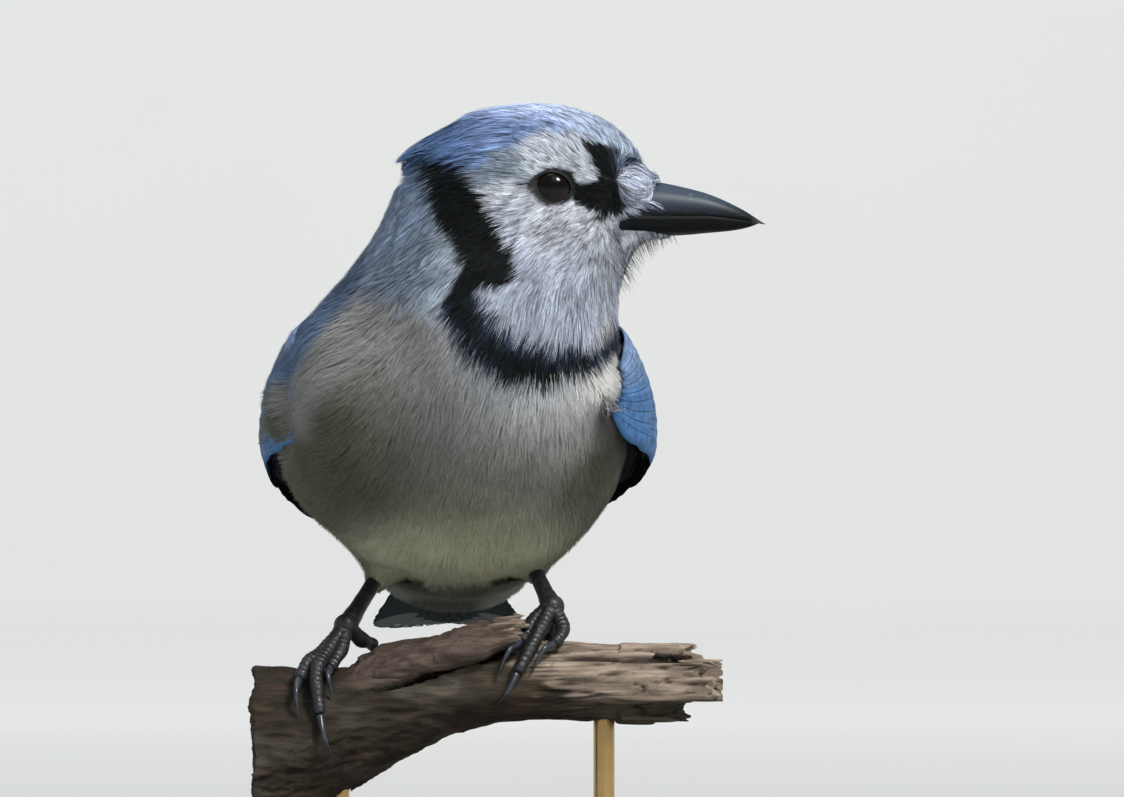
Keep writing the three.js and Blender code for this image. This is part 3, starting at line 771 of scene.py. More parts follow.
# The black patch of the face, from the forehead down past the eye's front corner to the gape
FACE_PATCH = [
    (23.6, 85.7), (26.4, 86), (28, 86.3), (28.5, 87.1), (28.1, 88.2), (27, 89.2), (26.7, 90.8), (26.1, 92.3),
    (25.2, 93.9), (26.8, 93.8), (28.6, 93.2), (30, 92.8), (31.8, 92.4), (33.4, 92.1), (35.2, 91.7),
    (37.6, 91), (38.6, 89.6), (36.6, 89.2), (34.8, 88.4), (33.6, 87), (33, 85), (33, 83), (33.8, 82),
    (34, 80.6), (31.6, 79.9), (29, 79.7), (27, 80.5), (25.2, 81.8), (23.8, 83.2),
]
# Black strokes on the face: places along the bill and up, each with the stroke's half width there
FACE_STROKES = [
    [(12.6, 85.5, 0.15), (14.4, 85.6, 0.55), (16, 85.6, 1.15), (17.4, 85.5, 1.7)],
    [(25.3, 78.5, 0.05), (27.3, 79, 0.3), (29.8, 79.6, 0.4)],
]
# The thin white edge between the breast and the left wing
EDGE_LINE = [(32.3, 57.8, 0.3), (33.5, 54.6, 0.55), (34.2, 52.3, 0.5), (34.6, 49.5, 0.3)]


def edge_distance(x, z, outline):
    """How far inside a closed outline each place lies, in millimetres, negative outside"""
    nearest = np.full(x.shape, 1e9)
    inside = np.zeros(x.shape, bool)
    for (ax, az), (bx, bz) in zip(outline, outline[1:] + outline[:1]):
        share = ((x - ax) * (bx - ax) + (z - az) * (bz - az)) / ((bx - ax) ** 2 + (bz - az) ** 2)
        share = np.clip(share, 0, 1)
        nearest = np.minimum(nearest, np.hypot(x - lerp(ax, bx, share), z - lerp(az, bz, share)))
        if az != bz:
            crossing = ax + (z - az) * (bx - ax) / (bz - az)
            inside ^= ((az > z) != (bz > z)) & (x < crossing)
    return np.where(inside, nearest, -nearest)


def stroke_depth(points, stroke):
    """How far each place is inside a stroke of varying half width, negative outside it"""
    deepest = np.full(len(points), -1e9)
    size = points.shape[1]
    for start, end in zip(stroke, stroke[1:]):
        a, b = np.array(start[:size], float), np.array(end[:size], float)
        share = np.clip((points - a) @ (b - a) / ((b - a) @ (b - a)), 0, 1)
        gap = np.linalg.norm(points - a - share[:, None] * (b - a), axis=1)
        deepest = np.maximum(deepest, lerp(start[size], end[size], share) - gap)
    return deepest


def over(colour, mask, layer):
    return lerp(colour, np.asarray(layer, float), np.clip(mask, 0, 1)[:, None])


def nearness(points, places, power=3.0):
    """The share that each named place has at each point, strong for the nearest"""
    points = points.astype(np.float32)
    places = np.asarray(places, np.float32)
    square = (points**2).sum(1)[:, None] + (places**2).sum(1) - 2 * points @ places.T
    weight = 1 / np.maximum(square, 0.5) ** power
    return weight / weight.sum(1, keepdims=True)


WOBBLE = Wander(11, 5)
FINE_WOBBLE = Wander(12, 1.6)
MOTTLE = Wander(13, 9)
STREAKS = Wander(14, 1.3, (5, 1, 2.5))
NASAL_STREAKS = Wander(15, 0.45, (12, 1, 1))


def ground_colour(points):
    """The soft ground colours under the markings, alike on both sides of the head"""
    x, y, z = points.T
    folded = np.where(z > 68, HEAD_PLANE - np.abs(y - HEAD_PLANE), y)
    colour = nearness(stack(x, folded, z), GROUND_PLACES) @ GROUND_TINTS
    colour = colour * (1 + 0.07 * MOTTLE(points) + 0.05 * FINE_WOBBLE(points))[:, None]
    nasal = smooth(x, 32.5, 34.5) * smooth(z, 81, 82) * smooth(z, 90.5, 89.5)
    colour = colour * (1 + 0.55 * nasal * NASAL_STREAKS(stack(x, y, z + 0.3 * x)))[:, None]
    beneath = smooth(z, 9.6, 8.4) * smooth(y, 3, 12) * smooth(y, 88, 70)
    hollow = beneath * smooth(x, -11.5, -9) * smooth(x, 8, 4)
    return over(colour, hollow, HOLLOW_SHADE)


# The markings over the grounds. Each gives how much it covers each place, and its colour there.


def crown_marking(points, wobble):
    x, _, z = points.T
    edge_x, edge_z = np.array(CROWN_EDGE).T
    above = z - np.interp(x, edge_x, edge_z) + wobble * 0.9
    crown = lerp(TINTS["crest"], TINTS["crown"], smooth(x, -4, 13)[:, None])
    # painted highlight: the crown is painted paler towards its top, as lit from above
    crown = lerp(crown, TINTS["crown_top_highlight"], smooth(z + 0.1 * x, 97, 102.5)[:, None])
    crown = lerp(crown, TINTS["crown_front"], smooth(x + 0.25 * (z - 95), 19, 28)[:, None])
    crown = crown * (1 + 0.34 * STREAKS(points))[:, None]
    front = smooth(x, 24, 33) * smooth(STREAKS(points) + 0.5 * FINE_WOBBLE(points), 0.2, 0.8)
    return smooth(above, -0.7, 0.8) * (z > 84) * (x > -16), over(crown, front * 0.75, INK_BLUE)


def collar_marking(points, wobble):
    x, y, z = points.T
    outside = -9.0
    near_side = (y < -6 + 8 * smooth(z, 62, 72)) | (z > 64)
    collar = np.where(near_side & (y < 12), edge_distance(x, z, COLLAR) + wobble * 0.75, outside)
    far = stroke_depth(points, [(*place, 2.7) for place in FAR_COLLAR])
    from_side = stroke_depth(points[:, [0, 2]], [(place[0], place[2], 2.6) for place in FAR_COLLAR[2:]])
    far = np.where((y > -6) & (y < 20), np.maximum(far, from_side), far) + wobble * 0.6
    collar = np.maximum(collar, np.where(y > -20, far, outside))
    inner_edge = smooth(collar, 3.4, 0.6) * smooth(z, 66, 58) * smooth(z + 0.1 * np.abs(x - 18), 50.5, 53.5)
    ink = lerp(BLACK, INK_BLUE, (inner_edge * (1 + 0.9 * STREAKS(points)))[:, None])
    return smooth(collar, -0.6, 0.6), ink


def breast_edge_marking(points, wobble):
    white_edge = stroke_depth(points[:, [0, 2]], EDGE_LINE)
    return smooth(white_edge, -0.25, 0.1) * (points[:, 1] < 2), EDGE_WHITE


def face_marking(points, wobble):
    x, _, z = points.T
    round_eye = np.hypot((x - 20.4) / 4.5, (z - 85.0) / 3.9)
    marks = [edge_distance(x, z, FACE_PATCH), np.where(z > 84, 4 * (1 - round_eye), 3 * (0.9 - round_eye))]
    marks += [stroke_depth(points[:, [0, 2]], stroke) for stroke in FACE_STROKES]
    blue_front = smooth(x, 30, 33) * smooth(z, 87, 90) * smooth(STREAKS(points), 0.0, 0.6)
    patch = lerp(BLACK, LORE_BLUE, blue_front[:, None])
    return smooth(np.max(marks, axis=0) + wobble * 0.4, -0.4, 0.4) * smooth(z, 62, 70), patch


def nasal_tips_marking(points, wobble):
    x, _, z = points.T
    tips = smooth(x, 39.5, 42.5) * smooth(z, 86.5, 84.5) * (z > 80) * smooth(FINE_WOBBLE(points), -0.7, 0.3)
    return tips * 0.75, TAN


MARKINGS = (crown_marking, collar_marking, breast_edge_marking, face_marking, nasal_tips_marking)


def plumage(points):
    """The plumage's colour at each place. Skin and coat both take it from here."""
    colour = ground_colour(points)
    wobble = WOBBLE(points) * 0.5 + FINE_WOBBLE(points) * 0.35
    for marking in MARKINGS:
        colour = over(colour, *marking(points, wobble))
    return colour


BILL_BASE = 30.5
BILL_TIP = 60.4
GAPE_HEIGHT = 80
CLEAR_OF_BILL = 1.03  # how far out from the bill's middle feathers stay, when 1 is its surface
CHIN_LINE = 77  # below this height the skin round the bill is the chin's


def bill_share(x):
    return np.clip((x - BILL_BASE) / (BILL_TIP - BILL_BASE), 0, 1)


def bill_half_width(s):
    return 0.3 * (1 - s**6) + 5.6 * (1 - s) ** 0.82 * (1 - 0.05 * np.sin(math.pi * s))


def culmen_height(s):
    return 0.3 * (1 - s**6) + 6.9 * np.maximum(1 - s**1.65, 0) ** 0.95


def chin_depth(s):
    return 0.2 * (1 - s**6) + 3.6 * np.maximum(1 - np.minimum(s * 1.04, 1) ** 4, 0) ** 0.9


def in_bill(points):
    """How far out each place is from the bill's middle line, 1 on its surface"""
    x, y, z = points.T
    s = bill_share(x)
    high = np.where(z > GAPE_HEIGHT, culmen_height(s), chin_depth(s))
    return np.hypot((y - HEAD_PLANE) / bill_half_width(s), (z - GAPE_HEIGHT) / high)


def off_the_bill(points):
    """Places, moved just clear of the bill where they would be inside it"""
    share = in_bill(points)
    inside = (points[:, 0] > 31.5) & (share < CLEAR_OF_BILL)
    grow = np.where(inside, CLEAR_OF_BILL / np.maximum(share, 0.3), 1)[:, None]
    middle = stack(points[:, 0], HEAD_PLANE, GAPE_HEIGHT)
    return middle + (points - middle) * grow


def on_the_bill(points):
    """Places of the skin, drawn in to the bill's surface where they lie round it"""
    x, y, z = points.T
    share = in_bill(points)
    top = np.interp(x, (34, 36, 37, 38, 40, 42, 44), (99, 92.3, 90.7, 89, 87.3, 86.1, 85.2))
    above = np.minimum((top - GAPE_HEIGHT) / culmen_height(bill_share(x)), 2.2)
    most = lerp(0.95, above, smooth(z, 83, 87.5))
    most = np.where(z < CHIN_LINE, np.inf, most)
    shrink = np.where(share > most, most / np.maximum(share, 0.3), 1)
    shrink = lerp(1, shrink, smooth(x, 31, 33.5))[:, None]
    chin = bill_half_width(bill_share(x)) * 0.8 + 0.7 * np.maximum(76 - z, 0)
    narrow = np.clip(y - HEAD_PLANE, -chin, chin) + HEAD_PLANE
    points = points.copy()
    points[:, 1] = np.where(z < CHIN_LINE, lerp(y, narrow, smooth(x, 30.5, 33)), y)
    middle = stack(x, HEAD_PLANE, GAPE_HEIGHT)
    return middle + (points - middle) * shrink


# The lie of the coat, by the piece that the feathers belong to. Each row: a place, the way its feathers lie
# there, their length, their width, how deep the coat is, and how far their tips keep off the skin. Rows of
# the head hold for both its sides.

HEAD_LIE = {
    "face": [
        ((41, -10, 86.5), (1, -0.03, -0.42), 4.6, 0.12, 0.9, 0.4),
        ((37.5, -10, 88.5), (1, -0.05, -0.42), 6, 0.13, 1.1, 0.3),
        ((36.5, -12, 85.5), (1, 0, -0.24), 7, 0.12, 1.0, 0.2),
        ((35, -12.8, 83), (1, 0.05, 0.0), 6.5, 0.12, 0.9, 0.2),
        ((34, -12.2, 87.6), (0.9, 0, -0.45), 5, 0.12, 0.9, 0.1),
        ((33.5, -11, 92), (-0.6, 0, 0.8), 2.6, 0.12, 0.9, 0),
        ((36.5, -9, 91), (-0.5, 0, 0.8), 2.4, 0.12, 0.8, 0),
        ((24, -17, 92.5), (-0.75, -0.1, 0.65), 3.2, 0.13, 0.9, 0),
        ((29, -13.5, 89), (-0.55, -0.1, 0.8), 2.4, 0.13, 0.8, 0),
        ((19, -18, 90.5), (-0.85, 0, 0.4), 3, 0.13, 0.9, 0),
        ((10, -20, 89), (-1, 0, 0), 4.2, 0.14, 1.1, 0),
        ((12, -21, 84), (-1, 0, -0.05), 3.6, 0.14, 1.1, 0),
        ((18, -20.5, 79), (-0.8, 0, -0.5), 3, 0.13, 1.1, 0),
        ((25, -16, 77.5), (-0.85, -0.1, -0.4), 2.6, 0.13, 1.0, 0),
        ((10, -21.5, 75), (-0.75, 0, -0.6), 4.2, 0.15, 1.4, 0),
        ((18, -20, 71), (-0.6, 0, -0.8), 4.8, 0.15, 1.6, 0),
        ((28, -14.5, 84.5), (-0.9, 0, 0.15), 1.7, 0.12, 0.6, 0),
        ((31, -13.3, 82), (-0.7, 0, -0.5), 1.5, 0.12, 0.5, 0),
        ((30, -13.5, 79), (0.55, 0, -0.85), 3.2, 0.12, 0.9, 0.3),
        ((31.5, -13.2, 81), (0.9, 0, -0.35), 1.8, 0.12, 0.6, 0.2),
    ],
    "crown": [
        ((31, -11, 94.5), (-0.75, 0, 0.65), 2.8, 0.14, 0.9, 0),
        ((24, -12, 98.5), (-0.9, 0, 0.35), 4.5, 0.15, 1.1, 0),
        ((12, -10, 101), (-1, 0, -0.05), 7, 0.16, 1.5, 0.1),
        ((3, -10, 98), (-0.88, 0, -0.47), 10, 0.17, 0.9, 0.4),
        ((-3, -9, 94), (-0.88, 0, -0.5), 8.5, 0.17, 0.5, 0.8),
        ((12, -19, 94), (-1, -0.02, -0.15), 6, 0.15, 1.2, 0.1),
        ((4, -18, 91.5), (-0.94, 0.08, -0.3), 8, 0.16, 1.2, 0.4),
        ((-2, -14, 92), (-0.93, 0.25, -0.36), 8, 0.16, 0.9, 0.8),
    ],
    "throat": [
        ((36, -11, 75.6), (0.35, 0.1, -0.9), 2.2, 0.12, 0.4, 0.1),
        ((33, -10, 74.5), (-0.2, 0, -0.95), 3.8, 0.14, 1.1, 0.1),
        ((37, -8, 75.5), (0.1, 0, -0.9), 2.0, 0.13, 0.6, 0.2),
        ((28, -12, 70), (-0.5, 0, -0.87), 6, 0.16, 1.8, 0.1),
    ],
    "nape": [
        ((3, -19, 80), (-0.5, 0, -0.85), 4, 0.16, 1.6, 0),
        ((-7, -12, 84), (-0.5, 0, -0.9), 4, 0.17, 1.2, 0),
        ((-6, -17, 76), (-0.55, -0.2, -0.85), 5, 0.17, 1.7, 0),
    ],
}
BODY_LIE = {
    "throat": [
        ((31, -12, 64), (-0.1, 0, -1), 6.8, 0.147, 2.2, 0.1),
        ((18, -22, 62), (-0.4, -0.2, -0.9), 7.2, 0.147, 2.3, 0),
        ((9, -28, 58), (-0.5, 0, -0.85), 7.2, 0.147, 2.3, 0),
        ((20, -29, 54), (-0.12, 0, -1), 7.2, 0.147, 2.4, 0),
        ((30, -24, 56), (0.12, 0, -1), 6.8, 0.147, 2.3, 0),
        ((28, 4, 64), (0.2, 0.2, -0.95), 5.4, 0.147, 2.0, 0),
    ],
    "nape": [
        ((6, -24, 66), (-0.45, -0.3, -0.85), 4.3, 0.147, 1.9, 0),
        ((-3, -27, 64), (-0.55, -0.35, -0.8), 4.7, 0.156, 2.2, 0),
        ((-12, -18, 67), (-0.7, 0.1, -0.75), 5.5, 0.166, 2.2, 0),
    ],
    "breast_right": [
        ((8, -34, 50), (-0.18, -0.3, -1), 6.2, 0.156, 2.8, 0),
        ((-8, -33, 56), (-0.6, -0.2, -0.75), 6.2, 0.156, 2.8, 0),
        ((-20, -24, 55), (-0.85, 0.1, -0.45), 7, 0.166, 2.8, 0),
        ((-28, -14, 47), (-0.75, 0.55, -0.2), 7.8, 0.166, 2.9, 0.3),
        ((-27, -16, 36), (-0.5, 0.6, -0.6), 7, 0.166, 2.9, 0.1),
        ((-22, -16, 25), (-0.15, 0.6, -0.8), 6.6, 0.166, 3.0, 0),
        ((-28, -10, 34), (-0.8, 0.35, -0.45), 8, 0.166, 2.9, 0.5),
        ((-25, -10, 27), (-0.75, 0.35, -0.55), 7.5, 0.166, 2.9, 0.5),
        ((2, -44, 40), (-0.1, 0.1, -1), 6.6, 0.166, 3.0, 0),
        ((-14, -34, 40), (-0.38, 0.2, -0.9), 6.6, 0.166, 3.0, 0),
        ((-25, -20, 43), (-0.85, 0.4, -0.15), 6.5, 0.16, 2.0, 0.1),
        ((-31, -8, 44), (-0.7, 0.7, -0.2), 6, 0.16, 1.5, 0),
        ((-30, -8, 38), (-0.6, 0.7, -0.3), 6, 0.16, 1.5, 0),
    ],
    "mantle": [
        ((-20, -8, 62), (-0.7, 0.5, -0.5), 6.2, 0.166, 2.3, 0),
        ((0, 6, 71), (0, 0.85, -0.5), 5.9, 0.166, 2.2, 0),
        ((20, 2, 64), (0.4, 0.75, -0.55), 5.9, 0.166, 2.2, 0),
        ((-14, 10, 64), (-0.15, 0.9, -0.45), 6.2, 0.175, 2.4, 0),
        ((16, 12, 62), (0.15, 0.9, -0.45), 6.2, 0.175, 2.4, 0),
        ((31, -14, 57), (0.4, 0.5, -0.8), 5, 0.15, 1.4, 0),
        ((32, -5, 58), (0.5, 0.6, -0.6), 5.5, 0.16, 1.6, 0),
        ((-27, -10, 55), (-0.6, 0.5, -0.6), 6, 0.16, 1.6, 0),
        ((-32, -2, 50), (-0.5, 0.6, -0.6), 6, 0.16, 1.5, 0),
    ],
    "breast_left": [
        ((20, -38, 44), (0.08, 0.0, -1), 6.6, 0.156, 3.0, 0),
        ((31, -24, 46), (0.3, 0.4, -0.9), 7, 0.166, 2.9, 0),
        ((34, -12, 42), (0.25, 0.75, -0.6), 7, 0.166, 2.8, 0.1),
        ((26, -28, 32), (0.1, 0.35, -0.95), 6.6, 0.166, 3.0, 0),
        ((30, -8, 28), (0, 0.8, -0.6), 7, 0.175, 3.0, 0),
        ((29, -20, 48), (0.22, 0.3, -0.92), 6.5, 0.16, 2.0, 0),
        ((32, -15, 51), (0.12, 0.3, -0.95), 5.5, 0.15, 1.5, 0),
        ((32, -15, 44), (0.05, 0.3, -0.95), 5.5, 0.16, 1.6, 0),
    ],
    "belly": [
        ((12, -40, 28), (0.05, 0.35, -0.95), 6.6, 0.175, 3.2, 0),
        ((2, -36, 22), (0, 0.5, -0.85), 6.6, 0.175, 3.2, 0),
        ((-14, -28, 18), (-0.05, 0.6, -0.8), 7, 0.184, 3.2, 0),
        ((2, -18, 9), (0, 0.95, -0.3), 7, 0.184, 3.2, 0),
    ],
    "vent": [
        ((1, 10, 4), (0, 1, -0.05), 10, 0.22, 3.0, 0.1),
        ((-22, 20, 16), (-0.05, 1, -0.2), 10, 0.22, 3.0, 0.1),
        ((24, 20, 16), (0.05, 1, -0.2), 10, 0.22, 3.0, 0.1),
        ((0, 50, 5.5), (0, 1, -0.12), 13, 0.24, 2.6, 0.3),
        ((-11, 14, 16), (0.1, -0.25, -1), 4, 0.17, 0.9, 0.2),
        ((15, 12, 15), (0.1, -0.25, -1), 4, 0.17, 0.9, 0.2),
    ],
    "rump": [
        ((0, 30, 54), (0, 0.9, -0.45), 9, 0.21, 2.5, 0),
        ((0, 52, 38), (0, 0.93, -0.4), 9.5, 0.22, 2.6, 0),
        ((-14, 50, 28), (-0.05, 0.95, -0.35), 9.5, 0.22, 2.6, 0),
        ((16, 50, 28), (0.05, 0.95, -0.35), 9.5, 0.22, 2.6, 0),
        ((0, 74, 21), (0, 1, -0.28), 12, 0.25, 1.6, 0.2),
    ],
}


class Lie:
    """The rows above as fields that can be asked for at any places"""

    def __init__(self):
        head, body = (
            [(piece, *row) for piece, rows in lie.items() for row in rows] for lie in (HEAD_LIE, BODY_LIE)
        )
        flip = np.array((1, -1, 1))
        far = [(piece, np.array(at) * flip + (0, 2 * HEAD_PLANE, 0), np.array(way) * flip, *sizes)
               for piece, at, way, *sizes in head]
        pieces, places, ways, *sizes = zip(*head, *far, *body)
        self.pieces = np.array(pieces)
        self.places = np.array(places, float)
        self.ways = unit(np.array(ways, float))
        self.sizes = np.array(sizes, float).T

    def __call__(self, points):
        """The coat's way, length, width, depth and looseness at each point, and the nearest row's piece"""
        share = nearness(points, self.places, 2.0)
        return (share @ self.ways, *(share @ self.sizes).T, self.pieces[share.argmax(1)])


LIE = Lie()
FLESH = ("head", "neck", "trunk", "rump", "thigh_left", "thigh_right")
SKIN_CELL = 0.7


# Where the breast's feathers end against the left wing: height, and place to the left
BREAST_EDGE = [
    (30, 40), (33, 40), (36, 34.3), (40, 33.2), (43, 31.8), (45, 32), (46.5, 33), (49.5, 34.2),
    (51.5, 34.3), (54, 33.6), (57.5, 32.4), (60, 31.8),
]


def past_breast_edge(points, rear, low, high):
    """Whether each place lies in front of the left wing, beyond the breast's feathers"""
    x, y, z = points.T
    edge = np.interp(z, *np.array(BREAST_EDGE).T)
    return (x > edge) & (y < rear) & (z > low) & (z < high)


def coat_room(places, out, from_wing):
    """How deep the coat is over each place of the flesh, which is how far the skin lies inside it"""
    x, y, z = places.T
    thighs = smooth(z, 17, 11) * smooth(y, 2, 8) * smooth(y, 30, 22) * smooth(np.abs(x - 2), 5, 9)
    from_middle = np.abs(y - HEAD_PLANE)
    under_crest = smooth(x, -3, -7) * smooth(z, 85, 89) * smooth(z, 93, 91) * smooth(from_middle, 12, 8)
    crest_top = smooth(x, 7, -1) * smooth(z, 91, 94)
    depth = LIE(places)[3] - lerp(0.25, 0.45, smooth(z, 56, 70))
    depth = depth + 0.8 * thighs + 2.6 * under_crest + 0.5 * crest_top
    by_wing = np.minimum(depth, np.where(x > 0, 1.8, 0.8))
    depth = lerp(depth, by_wing, smooth(from_wing, 1.2, 0.4))
    under_covert = past_breast_edge(places, 12, 33, 60)
    depth = np.where(under_covert, np.maximum(depth, 1.8), depth)
    facing_in = (out[:, 0] * np.sign(x) < 0) & (from_wing < 1.4)
    return np.where(facing_in, 0.1, depth)


def add_skin():
    """One skin for all the flesh, inside the CAD's solids by the depth of the coat that lies on it"""
    stub = trimmed(copied("stub", ("bill_upper", "bill_lower"), 0.25), (43.5, HEAD_PLANE, 80), (1, 0, 0))
    crest = trimmed(copied("crest_front", ("crest",), 0.25), (-3.5, HEAD_PLANE, 92), (-1, 0, 0))
    coverts = copied("covert_fronts", ("wing_left_coverts", "wing_right_coverts"), 0.0)
    coverts = trimmed(coverts, body_point(0, 2, 40), (0, 1, 0))
    wing_tree = BVHTree.FromPolygons(
        millimetres(corners(coverts.data)).tolist(), [tuple(face.vertices) for face in coverts.data.polygons]
    )
    flesh = copied("flesh", (*FLESH, "eye_left", "eye_right"), 0.25)
    skin = joined("skin", [flesh, crest, stub, coverts])
    apply(skin, "REMESH", mode="VOXEL", voxel_size=SKIN_CELL * MM)
    apply(skin, "SMOOTH", factor=0.5, iterations=int(30 / SKIN_CELL**2))
    mesh = skin.data
    places = millimetres(corners(mesh))
    out = read(mesh.vertices, "normal", 3)
    from_wing = np.array([wing_tree.find_nearest(place)[3] for place in places.tolist()])
    move_corners(mesh, metres(places - out * coat_room(places, out, from_wing)[:, None]))
    apply(skin, "SMOOTH", factor=0.5, iterations=6)
    move_corners(mesh, metres(on_the_bill(millimetres(corners(mesh)))))
    edited([skin], lambda: bpy.ops.uv.smart_project(angle_limit=math.radians(66), island_margin=0.002))
    mesh.uv_layers[0].name = "OFBake"
    smooth_shade(skin)
    paint_corners(mesh, "plumage", plumage(millimetres(corners(mesh))))
    finish(skin, skin_finish(), "breast", *FLESH)
    return skin


# Wings: where they lie round the body. A place on a wing is how far back it is, and the angle round the
# body's side from the horizontal.

WING_SLOPE = 1.15


def wing_half_width(back):
    front = 37.6 - 13 * (np.maximum(3 - back, 0) / 24) ** 2
    return np.where(back < 3, front, 37.6 - 29.6 * smooth(back, -3, 118))


def wing_middle(back):
    return 39.5 - 0.27 * back - 4.6 * smooth(back, 66, 101)


def wing_rise(back):
    return np.where(back < 0, 36 - 8 * (np.minimum(back, 0) / 21) ** 2, 36 - 28 * smooth(back, 4, 114))


WING_EDGES = {  # the lower and the upper edge of each group of feathers, as angles
    "coverts": (
        lambda back: -6 * smooth(back, -23, -10),
        lambda back: lerp(4, 66, smooth(back, -30, 34)),
    ),
    "secondaries": (
        lambda back: lerp(12.5, 26.7, smooth(back, 42, 80)),
        lambda back: lerp(38, 70, 1 - (np.maximum(back - 48, 0) / 33) ** 2.2),
    ),
    "primaries": (
        lambda back: -6 - 3 * smooth(back, 42, 62) + 36 * smooth(back, 70, 108),
        lambda back: lerp(11, 25, smooth(back, 42, 80)) + 24 * smooth(back, 80, 98),
    ),
}


def wing_point(side, back, angle, inward):
    turn = np.radians(angle)
    reach = (wing_half_width(back) - inward) * np.maximum(np.cos(turn), 0) ** WING_SLOPE
    up = wing_middle(back) + (wing_rise(back) - inward) * np.sin(turn)
    return body_point(side * reach, back, up)


def under_wing(points):
    """Whether each place is well under a folded wing, where no small feathers are needed"""
    left, back, up = in_body(points)
    height = np.clip((up - wing_middle(back)) / wing_rise(back), -1, 1)
    angle = np.degrees(np.arcsin(height))
    lower = np.where(back < 42, WING_EDGES["coverts"][0](back), WING_EDGES["primaries"][0](back))
    upper = np.where(back < 42, WING_EDGES["coverts"][1](back), WING_EDGES["secondaries"][1](back))
    within = (back > -10) & (back < 76) & (angle > lower + 9) & (angle < upper - 12)
    return within & (np.abs(left) > 6)


# The coat: thin tapering tufts in their tens of thousands, each of a few faces, that lie along the body

TUFTS = 275000
STATIONS = np.array((0, 1 / 3, 2 / 3, 1))
PATCH = 0.003  # how large a tuft is on the unwrapped skin


def off_eyes(points):
    """How far outside an eye's opening each place is, 1 at its rim, as seen from the side"""
    along = (points[:, 0] - EYE[0]) / EYE_OPENING[0]
    up = (points[:, 2] - EYE[2]) / EYE_OPENING[1]
    reach = np.hypot(along, up)
    return np.where(np.abs(points[:, 1] - HEAD_PLANE) > 7, reach, 9.0)


def bare(points):
    """Places without small feathers: the eyes, the bill's sides, and what the wings cover"""
    x, y, z = points.T
    sheath = (x > 31.2 + 1.8 * smooth(z, 79.8, 81)) & (z > 76.9) & (z < 82)
    beyond = (x > 43) | (x > 42) & (z > 76.9)
    by_left_wing = past_breast_edge(points, 8, 30, 62) | (x > 30) & (y < 8) & (z > 40) & (z < 46.5)
    by_right_wing = (x < -33.2 - 0.12 * (z - 45)) & (z < 47) & (z > 28)
    return sheath | beyond | by_left_wing | by_right_wing | (off_eyes(points) < 1.0) | under_wing(points)


class Skin:
    """The finished skin, for finding places on it"""

    def __init__(self, piece):
        mesh = piece.data
        mesh.calc_loop_triangles()
        self.places = millimetres(corners(mesh))
        self.out = read(mesh.vertices, "normal", 3)
        self.flat = read(mesh.uv_layers["OFBake"].uv, "vector", 2)
        self.triangles = read(mesh.loop_triangles, "vertices", 3).astype(int)
        self.loops = read(mesh.loop_triangles, "loops", 3).astype(int)
        self.tree = BVHTree.FromPolygons(self.places.tolist(), self.triangles.tolist())

    def nearest(self, points):
        """The nearest places on the skin, and the way out from it there"""
        hits = [self.tree.find_nearest(point)[:2] for point in points.tolist()]
        places = np.array([hit[0] for hit in hits])
        return places, np.array([hit[1] for hit in hits])

    def scatter(self, source, count, wanted):
        """Random roots, as many to an area as wanted says: place, way out, and place when unwrapped"""
        a, b, c = (self.places[self.triangles[:, k]] for k in range(3))
        area = np.linalg.norm(np.cross(b - a, c - a), axis=1) / 2
        chance = area * wanted((a + b + c) / 3)
        chosen = source.choice(len(area), count, p=chance / chance.sum())
        share = source.dirichlet((1, 1, 1), count)
        blend = [np.einsum("nk,nkd->nd", share, values) for values in (
            self.places[self.triangles[chosen]],
            self.out[self.triangles[chosen]],
            self.flat[self.loops[chosen]],
        )]
        return blend[0], unit(blend[1]), blend[2]


def through(values, share):
    """A smooth line through the values at its start, middle and end"""
    start, middle, end = values
    return (
        start * (2 * (share - 0.5) * (share - 1))
        + middle * (4 * share * (1 - share))
        + end * (2 * share * (share - 0.5))
    )


def along_skin(skin, roots, out, way, length, loose):
    """The start, middle and end of lines that leave their roots and keep to the skin, or nearly so"""
    places, outs = [roots], [out]
    for freedom in (0.5 * loose[:, None], loose[:, None]):
        on_skin = unit(way - outs[-1] * dot(way, outs[-1]))
        straight = places[-1] + unit(lerp(on_skin, unit(way), freedom)) * length[:, None] / 2
        place, side_out = skin.nearest(straight)
        above = dot(straight - place, side_out) > 0
        places.append(np.where(above, lerp(place, straight, freedom), place))
        outs.append(unit(lerp(side_out, outs[-1], freedom)))
    return places, outs


CREST_TIP = np.array((-9.3, HEAD_PLANE, 89.9))
BEND = Wander(31, 8)
FINE_BEND = Wander(32, 2.6)
STRANDS = Wander(33, 1.0)
TUFTS_TO_LEADER = 20
COAT_LOOKS = {  # each piece's material and slot. The others have the body's and the breast's.
    "crown": ("head", "crest"), "face": ("head", "face"), "throat": ("head", "face"),
    "nape": ("body", "nape"), "mantle": ("body", "nape"), "rump": ("body", "rump"),
}


def aimed(way, length, to_target, share, firmness, reach, most):
    """Ways and lengths of feathers that a share of draws towards a target and keeps from passing it"""
    far = np.linalg.norm(to_target, axis=1)
    way = lerp(way, unit(to_target), firmness * share[:, None])
    return way, lerp(length, np.minimum(far * reach, most), share)


def nearest_leaders(source, roots):
    """For each tuft, the nearest of the few that the tufts round them lean towards"""
    count = len(roots)
    leaders = source.choice(count, count // TUFTS_TO_LEADER, replace=False)
    tree = KDTree(len(leaders))
    for index, root in enumerate(roots[leaders].tolist()):
        tree.insert(root, index)
    tree.balance()
    return leaders[[tree.find(root)[1] for root in roots.tolist()]]


